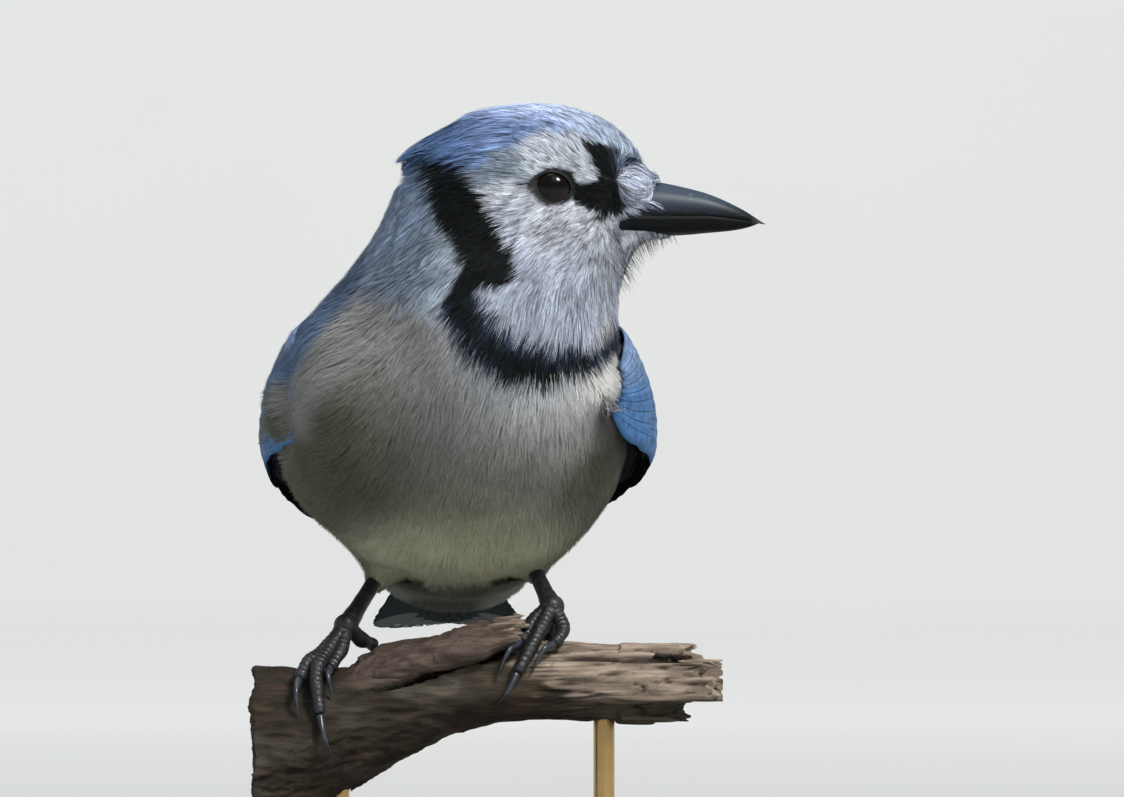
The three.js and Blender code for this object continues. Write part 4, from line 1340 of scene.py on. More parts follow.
def tuft_tones(source, roots, way, led_by, on_head, nasal):
    """How light each tuft is: in strands along the coat, in locks, and one by one"""
    count = len(roots)
    on_back = smooth(roots[:, 1], 8, 20) * smooth(roots[:, 2], 14, 22)
    contrast = np.maximum(on_head, 0.6 * on_back)
    strands = sum(STRANDS(roots + way * reach) for reach in (-5, -2.5, 0, 2.5, 5)) / 2.2
    tone = 1 + strands * lerp(0.08, 0.36, contrast)
    tone = tone + source.normal(0, 1, count) * (lerp(0.045, 0.2, contrast) + 0.16 * nasal)
    tone = tone + source.normal(0, 1, count)[led_by] * (lerp(0.03, 0.08, contrast) + 0.14 * nasal)
    return np.clip(tone, 0.25, 1.5)


def tuft_spines(places, outs, roots, led_by, rise, pull):
    """Each tuft's middle line and the way out from it, lifted off the skin and gathered into locks"""
    spine, normal = [], []
    for share in STATIONS:
        middle, up = through(places, share), unit(through(outs, share))
        gathered = middle[led_by] + (roots - roots[led_by]) * 0.45
        middle = lerp(middle, gathered, (pull * share**1.3)[:, None])
        height = rise * (1.35 * share - 0.35 * share**3)
        spine.append(off_the_bill(middle + up * height[:, None]))
        normal.append(up)
    return spine, normal


def coat_pieces(roots, pieces):
    """Name, look and tufts of each piece. The two largest are made in halves."""
    halves = {"face": roots[:, 1] > HEAD_PLANE, "vent": in_body(roots)[0] > 0}
    for name in sorted(set(pieces)):
        mine = pieces == name
        look = COAT_LOOKS.get(str(name), ("body", "breast"))
        if name in halves:
            yield f"coat_{name}_left", look, mine & halves[name]
            yield f"coat_{name}_right", look, mine & ~halves[name]
        else:
            yield f"coat_{name}", look, mine


def add_coat(skin_piece):
    skin = Skin(skin_piece)
    source = np.random.default_rng(21)

    def wanted(points):
        _, length, width, *_ = LIE(points)
        return np.where(bare(points), 0, 1 / (length * width) ** 0.9)

    count = TUFTS
    roots, out, flat = skin.scatter(source, count, wanted)
    way, length, width, depth, loose, pieces = LIE(roots)
    sideways = np.cross(out, unit(way))
    bend = 0.14 * BEND(roots) + 0.09 * FINE_BEND(roots) + source.normal(0, 0.06, count)
    way = unit(way) + sideways * bend[:, None]
    to_eye = off_eyes(roots)
    crowded = np.where(roots[:, 0] > EYE[0] - 1, np.clip((to_eye - 0.95) / 0.7, 0.22, 1), 1)
    length = length * crowded * source.uniform(0.7, 1.15, count)

    nasal = smooth(roots[:, 0], 32.5, 34) * (roots[:, 2] > 81) * (roots[:, 2] < 90)
    across = np.clip(roots[:, 1] - HEAD_PLANE, -4.2, 4.2)
    to_nose = stack(44.6, HEAD_PLANE + across, 87.1 - 0.2 * across**2) - roots
    way, length = aimed(way, length, to_nose, nasal, 0.85, source.uniform(0.6, 0.98, count), 8)
    to_tip = CREST_TIP - roots
    drawn = (pieces == "crown") * smooth(np.linalg.norm(to_tip, axis=1), 15, 5)
    way, length = aimed(way, length, to_tip, drawn, 1, 1, 10)
    places, outs = along_skin(skin, roots, out, way, length, np.maximum(loose, drawn))

    led_by = nearest_leaders(source, roots)
    on_head = smooth(roots[:, 2], 52, 70)
    tone = tuft_tones(source, roots, way, led_by, on_head, nasal)
    level = 1 - source.uniform(0, 1, count) * lerp(0.3, 0.6, on_head)
    rise = (0.2 + depth) * level * np.clip((to_eye - 1) / 0.9, 0.15, 1)
    roll = source.normal(0, 1, count) * lerp(0.12, 0.22, on_head)
    half = width * source.uniform(0.38, 0.62, count) * 1.0
    pull = source.uniform(0.6, 1.1, count) * lerp(0.12, 0.4, on_head) * (1 - 0.75 * nasal)
    spine, normal = tuft_spines(places, outs, roots, led_by, rise, pull)
    samples = through(places, source.uniform(0.5, 1.0, count)[:, None])
    colour = over(plumage(samples), drawn * 0.9, TINTS["crest"]) * tone[:, None]

    finishes = {"head": coat_finish("plumage_head", 0.62), "body": coat_finish("plumage_body", 0.75)}
    softness = {"head": 0.15, "body": 0.55}
    for name, (material, slot), mine in coat_pieces(roots, pieces):
        blades = Blades(softness[material])
        blades.lay([p[mine] for p in spine], [n[mine] for n in normal], half[mine], roll[mine])
        piece = blades.build(name, colour[mine], flat[mine])
        finish(piece, finishes[material], slot)
    return skin


class Blades:
    """Tufts of seven corners: three pairs along the tuft, and its tip"""

    WIDTHS = (0.85, 1.0, 0.72)
    # painted shade: tufts are painted darker towards the root, where the coat shades them, lighter at the tip
    SHADES = np.array((0.5, 0.5, 0.82, 0.82, 1.0, 1.0, 1.04))
    ALONG = np.array((0, 0, 1, 1, 2, 2, 3)) / 3 - 0.5
    ACROSS = np.array((-1, 1, -1, 1, -1, 1, 0)) / 2
    FACES = np.array((0, 1, 3, 2, 2, 3, 5, 4, 4, 5, 6))
    FACE_STARTS = np.array((0, 4, 8))

    def __init__(self, softness=0.0):
        """softness is how far the light falls on a tuft as on the coat as a whole"""
        self.softness = softness

    def lay(self, spine, normal, half, roll):
        corners_of, normals = [], []
        for station, factor in enumerate(self.WIDTHS):
            ahead = unit(spine[station + 1] - spine[station])
            side = unit(np.cross(normal[station], ahead))
            side = side * np.cos(roll)[:, None] + normal[station] * np.sin(roll)[:, None]
            reach = side * (half * factor)[:, None]
            corners_of += [spine[station] + reach, spine[station] - reach]
            flat = unit(np.cross(ahead, side))
            flat = flat * np.sign(dot(flat, normal[station]))
            normals += [unit(lerp(flat, normal[station], self.softness))] * 2
        self.places = np.stack([*corners_of, spine[3]], axis=1)
        self.normals = np.stack([*normals, normals[-1]], axis=1)

    def build(self, name, colour, flat, shades=None):
        count, corner_count = self.places.shape[:2]
        loops = self.FACES + corner_count * np.arange(count)[:, None]
        starts = self.FACE_STARTS + len(self.FACES) * np.arange(count)[:, None]
        mesh = mesh_of(name, self.places.reshape(-1, 3), loops, starts)
        mesh.polygons.foreach_set("use_smooth", np.ones(starts.size, bool))
        shade = self.SHADES if shades is None else shades
        paint_corners(mesh, "plumage", (colour[:, None, :] * shade[:, None]).reshape(-1, 3))
        patch = flat[:, None, :] + stack(self.ACROSS, self.ALONG) * PATCH
        if self.softness:
            soft = mesh.attributes.new("custom_normal", "FLOAT_VECTOR", "POINT")
            soft.data.foreach_set("vector", np.ascontiguousarray(self.normals, np.float32).ravel())
        layer = mesh.uv_layers.new(name="OFBake")
        layer.uv.foreach_set("vector", patch.reshape(-1, 2)[loops.ravel()].ravel())
        return placed(name, mesh)


def dress_crest(skin):
    """The crest's longest feathers, drawn together to its point over the coat of the crown"""
    source = np.random.default_rng(42)
    count = 900

    def wanted(points):
        x, y, z = points.T
        return (x > -5) * (x < 4) * (z > 90.5) * smooth(np.abs(y - HEAD_PLANE), 8, 3)

    roots, out, flat = skin.scatter(source, count, wanted)
    start = roots + out * source.uniform(0.5, 1.0, (count, 1))
    tips = CREST_TIP + source.normal(0, 1, (count, 3)) * (0.35, 0.4, 0.22)
    reach = source.uniform(0.5, 1, count)[:, None] ** 0.7
    bulge = out * source.uniform(0.3, 0.8, (count, 1))
    spine = [lerp(start, tips, share * reach) + bulge * 4 * share * (1 - share) for share in STATIONS]
    blades = Blades(0.15)
    half = source.uniform(0.07, 0.13, count)
    blades.lay(spine, [out] * 4, half, source.normal(0, 0.25, count))
    tint = lerp(TINTS["crest"], TINTS["crown"], source.uniform(0, 0.6, (count, 1)))
    piece = blades.build("coat_crest", tint * source.uniform(0.55, 1.2, (count, 1)), flat)
    finish(piece, coat_finish("plumage_crest", 0.62), "crest", "crest")


def add_bristles(skin):
    """Fine dark bristles that stand out from the chin and round the base of the bill"""
    source = np.random.default_rng(41)
    count = 620

    def wanted(points):
        x, y, z = points.T
        chin = (x > 29) & (x < 43) & (z < 77.5) & (z > 68)
        gape = (x > 27.5) & (x < 33) & (z > 77) & (z < 83.5) & (np.abs(y - HEAD_PLANE) > 4)
        return chin * (1.0 + 1.6 * (x > 36)) + gape * 1.6

    roots, out, flat = skin.scatter(source, count, wanted)
    chin = roots[:, 2] < 77.2
    way = np.where(chin[:, None], (0.55, 0, -0.8), (0.95, -0.05, -0.5))
    way = unit(way + out * 0.45 + source.normal(0, 0.16, (count, 3)))
    length = source.uniform(1.3, 4.2, count) * np.where(chin, 1 - 0.4 * smooth(roots[:, 0], 36, 42), 0.8)
    sag = np.array((0, 0, -0.35))
    spine = [roots + (way * share + sag * share**2) * length[:, None] for share in STATIONS]
    side_on = unit(np.cross(way, (0, 1, 0)))
    blades = Blades()
    blades.lay(spine, [side_on] * 4, np.full(count, 0.04), source.uniform(-1.5, 1.5, count))
    colour = np.full((count, 3), 0.012) * source.uniform(0.7, 2.2, (count, 1))
    piece = blades.build("coat_bristles", colour, flat, np.ones(7))
    finish(piece, coat_finish("bristles", 0.5), "face")


# Flight feathers and their coverts: closed thin vanes laid on the wings and the tail


class Vanes:
    """Feathers gathered into one mesh. Each is a closed thin vane, thickest along its shaft."""

    def __init__(self):
        self.places, self.faces, self.under = [], [], []
        self.flat, self.tint, self.mark = [], [], []
        self.count = 0

    def add(self, place, size, look, source, grid, mirror=1):
        """place takes the share along, the millimetres across and the lift. size is length, half width
        and how pointed the tip is. look is the tint, how strong the bars are, and the pale tip's length.
        mirror says which of its edges is the outer one."""
        rows, columns = grid
        length, half, point = size
        tint, bars, tip = look
        share, across = np.mgrid[0 : 1 : (rows + 1) * 1j, -1 : 1 : (columns + 1) * 1j]
        share = 1 - (1 - share) ** 1.25
        rounding = np.clip((share - 0.66) / 0.34, 0, 1) ** point
        width = half * lerp(0.45, 1, smooth(share, 0, 0.35)) * np.sqrt(np.maximum(1 - rounding, 0.004))
        ragged = 1 + 0.035 * np.sin(share * length * source.uniform(2, 4) + source.uniform(0, 6, 2)[0])
        reach = across * width * np.where(np.abs(across) > 0.9, ragged, 1)
        thick = 0.13 * (1 - across**2)
        camber = -0.45 * (half / 5) * across**2
        top = place(share, reach, camber + thick)
        under = place(share, reach, camber - thick)
        shape = share.shape
        top_index = self.count + np.arange(share.size).reshape(shape)
        under_index = top_index.copy()
        inner = np.zeros(shape, bool)
        inner[1:-1, 1:-1] = True
        under_index[inner] = self.count + share.size + np.arange(inner.sum())

        def quads(index):
            return np.stack(
                (index[:-1, :-1], index[1:, :-1], index[1:, 1:], index[:-1, 1:]), axis=-1
            ).reshape(-1, 4)

        self.faces += [quads(top_index), quads(under_index)[:, ::-1]]
        self.under += [np.zeros(rows * columns, int), np.ones(rows * columns, int)]
        for mask, grid_places in ((np.ones(shape, bool), top), (inner, under)):
            self.places.append(grid_places[mask])
            along = share[mask] * length / 10
            self.flat.append(np.stack((across[mask] * mirror / 2 + 0.5, along), axis=-1))
            self.tint.append(np.tile(tint, (mask.sum(), 1)))
            mark = (np.full(along.shape, bars), np.full(along.shape, tip / 10), length / 10 - along)
            self.mark.append(np.stack(mark, axis=-1))
        self.count += share.size + inner.sum()

    def build(self, name, materials, slot, *replaced):
        faces = np.concatenate(self.faces)
        mesh = mesh_of(name, np.concatenate(self.places), faces, np.arange(len(faces)) * 4)
        mesh.polygons.foreach_set("material_index", np.concatenate(self.under))
        layer = mesh.uv_layers.new(name="vane")
        layer.uv.foreach_set("vector", np.concatenate(self.flat)[faces.ravel()].ravel())
        paint_corners(mesh, "tint", np.concatenate(self.tint))
        paint_corners(mesh, "mark", np.concatenate(self.mark))
        for material in materials:
            mesh.materials.append(material)
        piece = placed(name, mesh)
        turn_outwards(piece)
        smooth_shade(piece)
        finish(piece, None, slot, *replaced)


WING_TINTS = {
    "primary": (0.015, 0.062, 0.17),
    "alula": (0.018, 0.11, 0.34),
    "secondary": (0.022, 0.14, 0.44),
    "tertial": (0.026, 0.14, 0.42),
    "greater": (0.024, 0.145, 0.44),
    "median": (0.036, 0.14, 0.38),
    "lesser": (0.046, 0.132, 0.32),
    "front": (0.11, 0.195, 0.37),
}
# What the tints of the lowest and the highest covert are multiplied by
# the coverts lighten upwards: partly their own paler blue, partly painted light from above
COVERT_SHADES = (np.array((0.44, 0.7, 0.83)), np.array((1.4, 1.22, 1.1)))
# Rows of wing feathers, the deepest first: group, feathers in the row, back from root to tip for the
# lowest and for the highest feather, share of the group's height at root and tip for the lowest and the
# highest, half width, how pointed, depth at root and at tip, tint, bars and pale tip
WING_ROWS = [
    ("primaries", 9, (26, 99), (20, 78), (0.1, 0.52), (0.9, 0.8), 3.6, 1.5, (0.5, 0.25), "primary",
     0.25, 0.6),
    ("coverts", 5, (6, 52), (4, 42), (0.04, 0.02), (0.22, 0.2), 3.4, 1.8, (0.6, 0.2), "alula", 0.5, 0),
    ("secondaries", 8, (20, 72), (18, 79), (0.14, 0.1), (0.62, 0.62), 5, 2.4, (0.65, 0.1), "secondary", 1, 4),
    ("secondaries", 3, (16, 74), (14, 60), (0.66, 0.7), (0.88, 0.95), 5.8, 2.4, (0.75, 0), "tertial", 1, 3.6),
    ("coverts", 2, (-10, 24), (-8, 30), (0.02, 0), (0.08, 0.08), 2.8, 1.8, (0.5, 0.2), "alula", 0.4, 0),
    ("coverts", 11, (12, 37), (16, 43), (0.05, 0.06), (0.93, 0.93), 4.4, 2.6, (0.8, 0.1), "greater", 1, 4.2),
    ("coverts", 11, (6, 22), (12, 31), (0.04, 0.05), (0.95, 0.95), 3.7, 2.4, (0.6, 0.08), "median", 0, 0),
    ("coverts", 12, (0, 15), (6, 25), (0.03, 0.05), (0.97, 0.97), 3.2, 2.2, (0.5, 0.05), "lesser", 0, 0),
    ("coverts", 11, (-6, 8), (-1, 17), (0.03, 0.05), (0.97, 0.97), 3, 2.2, (0.45, 0.03), "lesser", 0, 0),
    ("coverts", 10, (-12, 1), (-8, 9), (0.03, 0.05), (0.97, 0.97), 2.9, 2.2, (0.42, 0), "front", 0, 0),
    ("coverts", 8, (-17, -5), (-14, 2), (0.04, 0.06), (0.97, 0.97), 2.8, 2.2, (0.4, 0), "front", 0, 0),
]


def wing_feather(side, edges, backs, heights, depths):
    """Where a wing feather lies, as a function of the share along it, millimetres across, and lift"""
    lower, upper = edges

    def place(share, across, lift):
        back = lerp(backs[0], backs[1], share)
        height = lerp(heights[0], heights[1], share)
        angle = lerp(lower(back), upper(back), height)
        degree = (wing_rise(back) * 0.75 + wing_half_width(back) * 0.25) * math.pi / 180
        inward = lerp(depths[0], depths[1], smooth(share, 0, 0.8)) - lift
        return wing_point(side, back, angle + across / degree, inward)

    return place


def add_wing(side, name, materials):
    source = np.random.default_rng(51)
    vanes = Vanes()
    for row in WING_ROWS:
        group, count, low, high, low_at, high_at, half, point, depths, tint, bars, tip = row
        for number in range(count):
            share = number / max(count - 1, 1)
            jitter = source.uniform(-1, 1, 5)
            backs = [lerp(low[k], high[k], share) + jitter[k] * (0.5, 0.7)[k] for k in range(2)]
            heights = [lerp(low_at[k], high_at[k], share) + jitter[2] * 0.006 for k in range(2)]
            layer = [depth - 0.05 * share for depth in depths]
            colour = np.array(WING_TINTS[tint]) * (1 + 0.13 * jitter[3])
            if group == "coverts":
                colour = colour * lerp(*COVERT_SHADES, smooth(share, 0.45, 0.9))
            look = (colour, bars, tip * (1 + 0.2 * jitter[4]))
            grid = (20, 6) if bars or tip else (8, 4)
            place = wing_feather(side, WING_EDGES[group], backs, heights, layer)
            size = (backs[1] - backs[0], half * (1 + 0.05 * jitter[3]), point)
            vanes.add(place, size, look, source, grid)
    nodes = [f"wing_{name}_{group}" for group in WING_EDGES]
    vanes.build(f"wing_feathers_{name}", materials, "wing", *nodes)
    front = copied(f"wing_lining_{name}", nodes[:1], -0.85)
    lining = joined(f"wing_lining_{name}", [front, copied("wing_rear", nodes[1:], -0.55)])
    lining = trimmed(lining, body_point(0, -9 if side > 0 else -3, 40), (0, -1, 0))
    lining = trimmed(lining, body_point(0, 92, 20), (0, 1, 0))
    edited([lining], lambda: bpy.ops.mesh.subdivide(number_cuts=1))
    finish(lining, lining_finish(), "wing")


TAIL_AT = np.array((-0.5, 50, 15))
TAIL_PITCH = math.radians(-7)
TAIL_LENGTH = 126
TAIL_START = 14
TAIL_TINT = np.array((0.035, 0.16, 0.45))
# From the middle pair to the outermost: how long the white tip is, and how strong the bars are
TAIL_MARKS = ((0, 1.0), (3.0, 0.85), (6.0, 0.7), (9.0, 0.6), (13.0, 0.55), (17.0, 0.5))


def tail_point(left, back, up):
    y = back * math.cos(TAIL_PITCH) - up * math.sin(TAIL_PITCH)
    z = back * math.sin(TAIL_PITCH) + up * math.cos(TAIL_PITCH)
    return stack(left, y, z) + TAIL_AT


def tail_feather(side, rank, end):
    """Where a tail feather lies. Rank 0 is the middle pair."""
    out = side * (rank + 0.35) / 5.9
    level = 1.35 - 0.24 * rank - (0.07 if side < 0 else 0)

    def place(share, across, lift):
        back = lerp(TAIL_START, end, share)
        left = out * lerp(6.5, 12.2, smooth(back, 20, 118)) + across
        span = lerp(11, 16.5, smooth(back, 20, 110))
        return tail_point(left, back, level - 2.6 * (left / span) ** 2 + lift)

    return place


def add_tail(materials):
    """Twelve feathers, the middle pair on top, closed into a low roof with a rounded end"""
    source = np.random.default_rng(61)
    vanes = Vanes()
    for rank, (pale, bars) in reversed(list(enumerate(TAIL_MARKS))):
        for side in (1, -1):
            end = TAIL_LENGTH - 1.2 - 15.5 * (rank / 5) ** 2.6 - source.uniform(0, 0.8)
            size = (end - TAIL_START, 5.4 - 0.12 * rank, 3.2)
            look = (TAIL_TINT * source.uniform(0.9, 1.1), bars, pale)
            vanes.add(tail_feather(side, rank, end), size, look, source, (34, 8), -side)
    vanes.build("tail_feathers", materials, "tail", "tail")


# Bill, eyes and lids


def add_sheath(name, end, upper, horn):
    """One horny sheath: a half ellipse on the gape's line, with a keel along its outer edge"""
    out = 1 if upper else -1
    start = BILL_BASE - 1.2
    half_gap = 0.05

    def place(share, angle):
        x = lerp(start, end, 1 - (1 - share) ** 1.35)
        s = bill_share(x)
        gape = GAPE_HEIGHT - 1.5 * smooth(x, 48, 63)
        rise = culmen_height(s) if upper else chin_depth(s)
        around = np.sin(angle)
        outer = rise * np.maximum(around, 0) ** (0.85 if upper else 0.6)
        keel = 0.12 * (1 - s) * np.exp(-((np.cos(angle) / 0.3) ** 2)) * (around > 0)
        floor = np.where(around < 0, 0.25 * np.abs(around), 0)
        closing = rounded_ends(share, 40)
        y = bill_half_width(s) * np.cos(angle) * np.where(around < 0, 0.97, 1)
        z = out * (half_gap + (outer + keel) - floor * 0.3)
        hook = 0.3 * smooth(x, end - 4.5, end) if upper else 0
        return stack(x, HEAD_PLANE + y * closing, gape + z * closing - hook * closing)

    finish(drawn_out(name, 56, 64, place), horn, "bill", "bill_upper" if upper else "bill_lower")


def add_bill():
    horn = bill_finish()
    add_sheath("bill_sheath_upper", BILL_TIP, True, horn)
    add_sheath("bill_sheath_lower", BILL_TIP - 1, False, horn)


def add_eye(side, name):
    centre = np.array((EYE[0], HEAD_PLANE + side * EYE[1], EYE[2]))

    def ball(share, angle):
        polar = share * math.pi
        cornea = 0.22 * smooth(np.cos(polar), 0.62, 0.95)
        reach = EYE_RADIUS + cornea - 0.12
        x = reach * np.sin(polar) * np.cos(angle)
        z = reach * np.sin(polar) * np.sin(angle)
        return centre + stack(x, side * reach * np.cos(polar), z)

    eye = drawn_out(f"eyeball_{name}", 64, 48, ball)
    finish(eye, eye_finish(side), "eye", f"eye_{name}")
    add_lids(side, name, centre)


def add_lids(side, name, centre):
    """A ring of thin skin round the opening, drawn to a corner before and behind the eye"""
    ring_radius = 4
    deselect()
    bpy.ops.mesh.primitive_torus_add(
        major_segments=96, minor_segments=14, major_radius=ring_radius, minor_radius=0.5
    )
    lids = bpy.context.object
    lids.name = f"eyelids_{name}"
    ring = corners(lids.data)
    angle = np.arctan2(ring[:, 1], ring[:, 0])
    reach = np.hypot(ring[:, 0], ring[:, 1]) - ring_radius
    section = np.arctan2(ring[:, 2], reach)
    corner = np.abs(np.cos(angle)) ** 5
    width = 0.3 + 0.34 * corner
    half_length = 3.5 + width
    half_height = 3.06 + 0.22 + 0.1 * (np.sin(angle) > 0)
    beads = (np.sin(angle) < -0.2) * smooth(np.sin(angle * 22), -0.2, 0.7)
    outward = width * np.cos(section)
    x = (half_length + outward) * np.cos(angle)
    z = (half_height + outward) * np.sin(angle)
    out_by = np.hypot(x, z)
    follow = np.sqrt(np.maximum(EYE_RADIUS**2 - np.minimum(out_by, 4.3) ** 2, 0))
    thick = 0.3 + 0.06 * beads
    y = follow + 0.12 + thick * np.sin(section)
    move_corners(lids.data, metres(centre + stack(x, side * y, z)))
    turn_outwards(lids)
    smooth_shade(lids)
    colour = np.zeros((len(ring), 3))
    colour[:, 0] = beads * (np.sin(section) > -0.2) * (reach > -0.1)
    paint_corners(lids.data, "beads", colour)
    finish(lids, lid_finish(), "leg")


# Legs and feet. A place on the perch is how far along it, the angle from its top, and how far off it.


def thickening(x):
    """How far the perch has widened towards its cut end: 0 over its thinner half, and 1 at the cut"""
    return np.maximum(12 - x, 0) / 46.5


def perch_middle(x):
    return -8.1 - 15.9 * thickening(x) ** 1.45


def perch_radius(x):
    return 7.5 + 10.5 * thickening(x) ** 2


def perch_depth(x):
    return 7.6 + 6 * thickening(x) ** 2


def on_perch(x, angle, lift):
    turn = math.radians(angle)
    up = perch_middle(x) + math.cos(turn) * (perch_radius(x) + lift)
    return (x, -math.sin(turn) * (perch_depth(x) + lift), up)


FEET = {
    "right": {
        "ball": (-18.6, 0.5, 2.6), "heel": (-6.5, 22, 22),
        "middle": [(-21.6, 9, 3.8), (-24, 32, 2.3), (-24, 52, 1.7), (-23.4, 71, 1.5),
                   (-22.6, 88, 2.8), (-21.3, 107, 0.4)],
        "outer": [(-22.4, 4, 3.4), (-25.8, 21, 2.2), (-27.4, 37, 1.5), (-27.9, 51, 2.4), (-27.4, 66, 0.4)],
        "inner": [(-19.8, 12, 3), (-21.6, 29, 1.6), (-21.9, 44, 2.6), (-21, 58, 0.4)],
        "hind": [(-16, -10, 4.8), (-13.4, -27, 4.6), (-12.8, -50, 5), (-12.6, -76, 1.2)],
    },
    "left": {
        "ball": (20.2, 0.5, 6.2), "heel": (12.5, 22, 22),
        "middle": [(18.8, 10, 4.4), (15.8, 50, 1.7), (13.6, 77, 1.5), (11.8, 98, 2.8), (9.4, 121, 0.4)],
        "outer": [(22.2, 14, 2.8), (20.6, 36, 1.5), (18.6, 52, 2.8), (16.2, 77, 0.4)],
        "inner": [(17.2, 4, 4.6), (14.4, 33, 1.6), (12, 55, 3), (9.8, 84, 0.4)],
        "hind": [(19.6, -22, 3.2), (19, -54, 1.5), (18.4, -84, 2.8), (17.6, -112, 0.4)],
    },
}
DIGITS = ("middle", "outer", "inner", "hind")


class Line:
    """A smooth line through points, to be asked for places, ways and ways up by share of its length"""

    def __init__(self, points, up_from):
        points = np.array(points, float)
        ends = (2 * points[0] - points[1], 2 * points[-1] - points[-2])
        knots = np.concatenate(([ends[0]], points, [ends[1]]))
        pieces = []
        steps = 24
        for k in range(1, len(knots) - 2):
            pieces.append(self.span(knots[k - 1 : k + 3], np.linspace(0, 1, steps, endpoint=False)))
        self.places = np.concatenate(pieces + [points[-1:]])
        gone = np.linalg.norm(np.diff(self.places, axis=0), axis=1).cumsum()
        self.share = np.concatenate(([0], gone)) / gone[-1]
        self.length = gone[-1]
        self.ways = unit(np.gradient(self.places, axis=0))
        up = up_from(self.places)
        self.ups = unit(up - self.ways * dot(up, self.ways))

    @staticmethod
    def span(knots, share):
        """Centripetal spline between the two middle knots"""
        times = np.concatenate(([0], np.linalg.norm(np.diff(knots, axis=0), axis=1) ** 0.5)).cumsum()
        t = lerp(times[1], times[2], share)[:, None]

        def mixed(a, b, first, last):
            return lerp(a, b, (t - times[first]) / (times[last] - times[first]))

        one, two, three = (mixed(knots[k], knots[k + 1], k, k + 1) for k in range(3))
        return mixed(mixed(one, two, 0, 2), mixed(two, three, 1, 3), 1, 2)

    def at(self, share):
        return [
            np.stack([np.interp(share, self.share, values[:, k]) for k in range(3)], axis=-1)
            for values in (self.places, self.ways, self.ups)
        ]


def off_the_perch(places):
    return stack(0, places[:, 1], places[:, 2] - perch_middle(places[:, 0]))


def towards_the_breast(places):
    return np.tile((0.0, -1.0, 0.35), (len(places), 1))


def add_limb(name, line, sides, rings, outline):
    """outline takes share and angle, 0 at the top, and gives half width and height at that angle"""
    scutes = []

    def place(share, angle):
        middle, way, up = line.at(share)
        side = np.cross(way, up)
        reach, scute = outline(share, angle)
        scutes.append(scute)
        out = side * np.sin(angle)[:, None] + up * np.cos(angle)[:, None]
        return middle + out * (reach * rounded_ends(share, 24))[:, None]

    piece = drawn_out(name, sides, rings, place)
    high = np.repeat(np.clip(scutes[0], 0, 1)[:, None], 3, axis=1)
    paint_corners(piece.data, "scute", high)
    return piece


def plates(share, angle, count, spread):
    """Overlapping plates along the upper side: a slow rise and a sharp drop, and how high it is"""
    phase = share * count % 1
    ridge = np.where(phase < 0.8, phase / 0.8, (1 - phase) / 0.2)
    return ridge * np.clip(np.cos(angle) + spread, 0, 1) ** 0.5


def add_foot(side):
    foot = FEET[side]
    ball = np.array(foot["ball"], float)
    heel = np.array(foot["heel"], float)
    parts = []

    def shank(share, angle):
        plate = plates(share, angle, 7, 0.2)
        knee = 0.35 * np.exp(-(((share - 0.04) / 0.1) ** 2))
        return lerp(1.55, 1.35, share) + knee + 0.13 * plate, plate * 0.8

    line = Line([ball, lerp(ball, heel, 0.5), heel], towards_the_breast)
    parts.append(add_limb("shank", line, 28, 60, shank))

    def pad(share, angle):
        plate = plates(share, angle, 3, 0.3)
        return 2.35 * np.sqrt(np.maximum(1 - (2 * share - 1) ** 2, 0.02)) + 0.12 * plate, plate * 0.7

    across = np.array((0.6, 2.3, 0.4))
    parts.append(add_limb("pad", Line([ball + across, ball, ball - across], off_the_perch), 28, 24, pad))
    for digit in DIGITS:
        joints = [on_perch(*joint) for joint in foot[digit]]
        toe = [ball, *joints[:-2]]
        bones = len(toe) - 1

        def fleshy(share, angle, bones=bones):
            radius = lerp(1.95, 1.15, np.sqrt(share)) + 0.08 * np.cos(2 * math.pi * bones * share)
            plate = plates(share, angle, bones * 5, 0.15)
            beneath = np.clip(-np.cos(angle), 0, 1)
            pads = 0.14 * beneath * np.cos(2 * math.pi * bones * share)
            return radius * (1 - 0.05 * beneath) + 0.15 * plate + pads, plate

        parts.append(add_limb("toe", Line(toe, off_the_perch), 28, 24 * bones + 12, fleshy))
    leg = joined(f"leg_{side}", parts)
    nodes = [f"tarsus_{side}", f"foot_{side}", *(f"toe_{side}_{digit}" for digit in DIGITS)]
    finish(leg, leg_finish(), "leg", *nodes)
    horn = claw_finish()
    for digit in DIGITS:
        joints = [on_perch(*joint) for joint in foot[digit]]
        toe_end = np.array(joints[-3])

        def hooked(share, angle):
            radius = lerp(1.12, 0.14, share**0.85)
            return radius * (1 - 0.2 * np.abs(np.sin(angle))) * (1 + 0.04 * np.cos(2 * angle)), share * 0

        claw = add_limb(
            f"claw_horn_{side}_{digit}", Line([toe_end, *joints[-2:]], off_the_perch), 24, 36, hooked
        )
        finish(claw, horn, "claw", f"claw_{side}_{digit}")


# Perch and stand

BROKEN_END = 52.4  # the furthest that any splinter reaches
SPLIT_LINE = [(-16, -9.9), (-7, -7.7), (0, -5.7), (5, -4.1), (10, -2.6), (14.5, -1.0)]
# Layers of the broken end: lowest and highest, and where each of its strips begins and ends
BROKEN_LAYERS = [
    ((-3.1, -0.7), [(-4.6, -1.8, 44.4), (-1.8, 1.2, 47.2), (1.2, 4.6, 45.2)]),
    ((-7.2, -3.7), [
        (-7.3, -4.6, 49.2), (-4.6, -1.4, 51.8), (-1.4, 2.2, 50.4), (2.2, 5, 48.2), (5, 7.2, 46.2),
    ]),
    ((-11.4, -6.9), [(-7.6, -4.8, 50.6), (-4.8, -0.6, 52.2), (-0.6, 3.4, 49.4), (3.4, 7.2, 47.6)]),
    ((-15.3, -11.2), [(-5.4, -1.4, 44.8), (-1.4, 2.6, 43.4), (2.6, 5.2, 42)]),
]
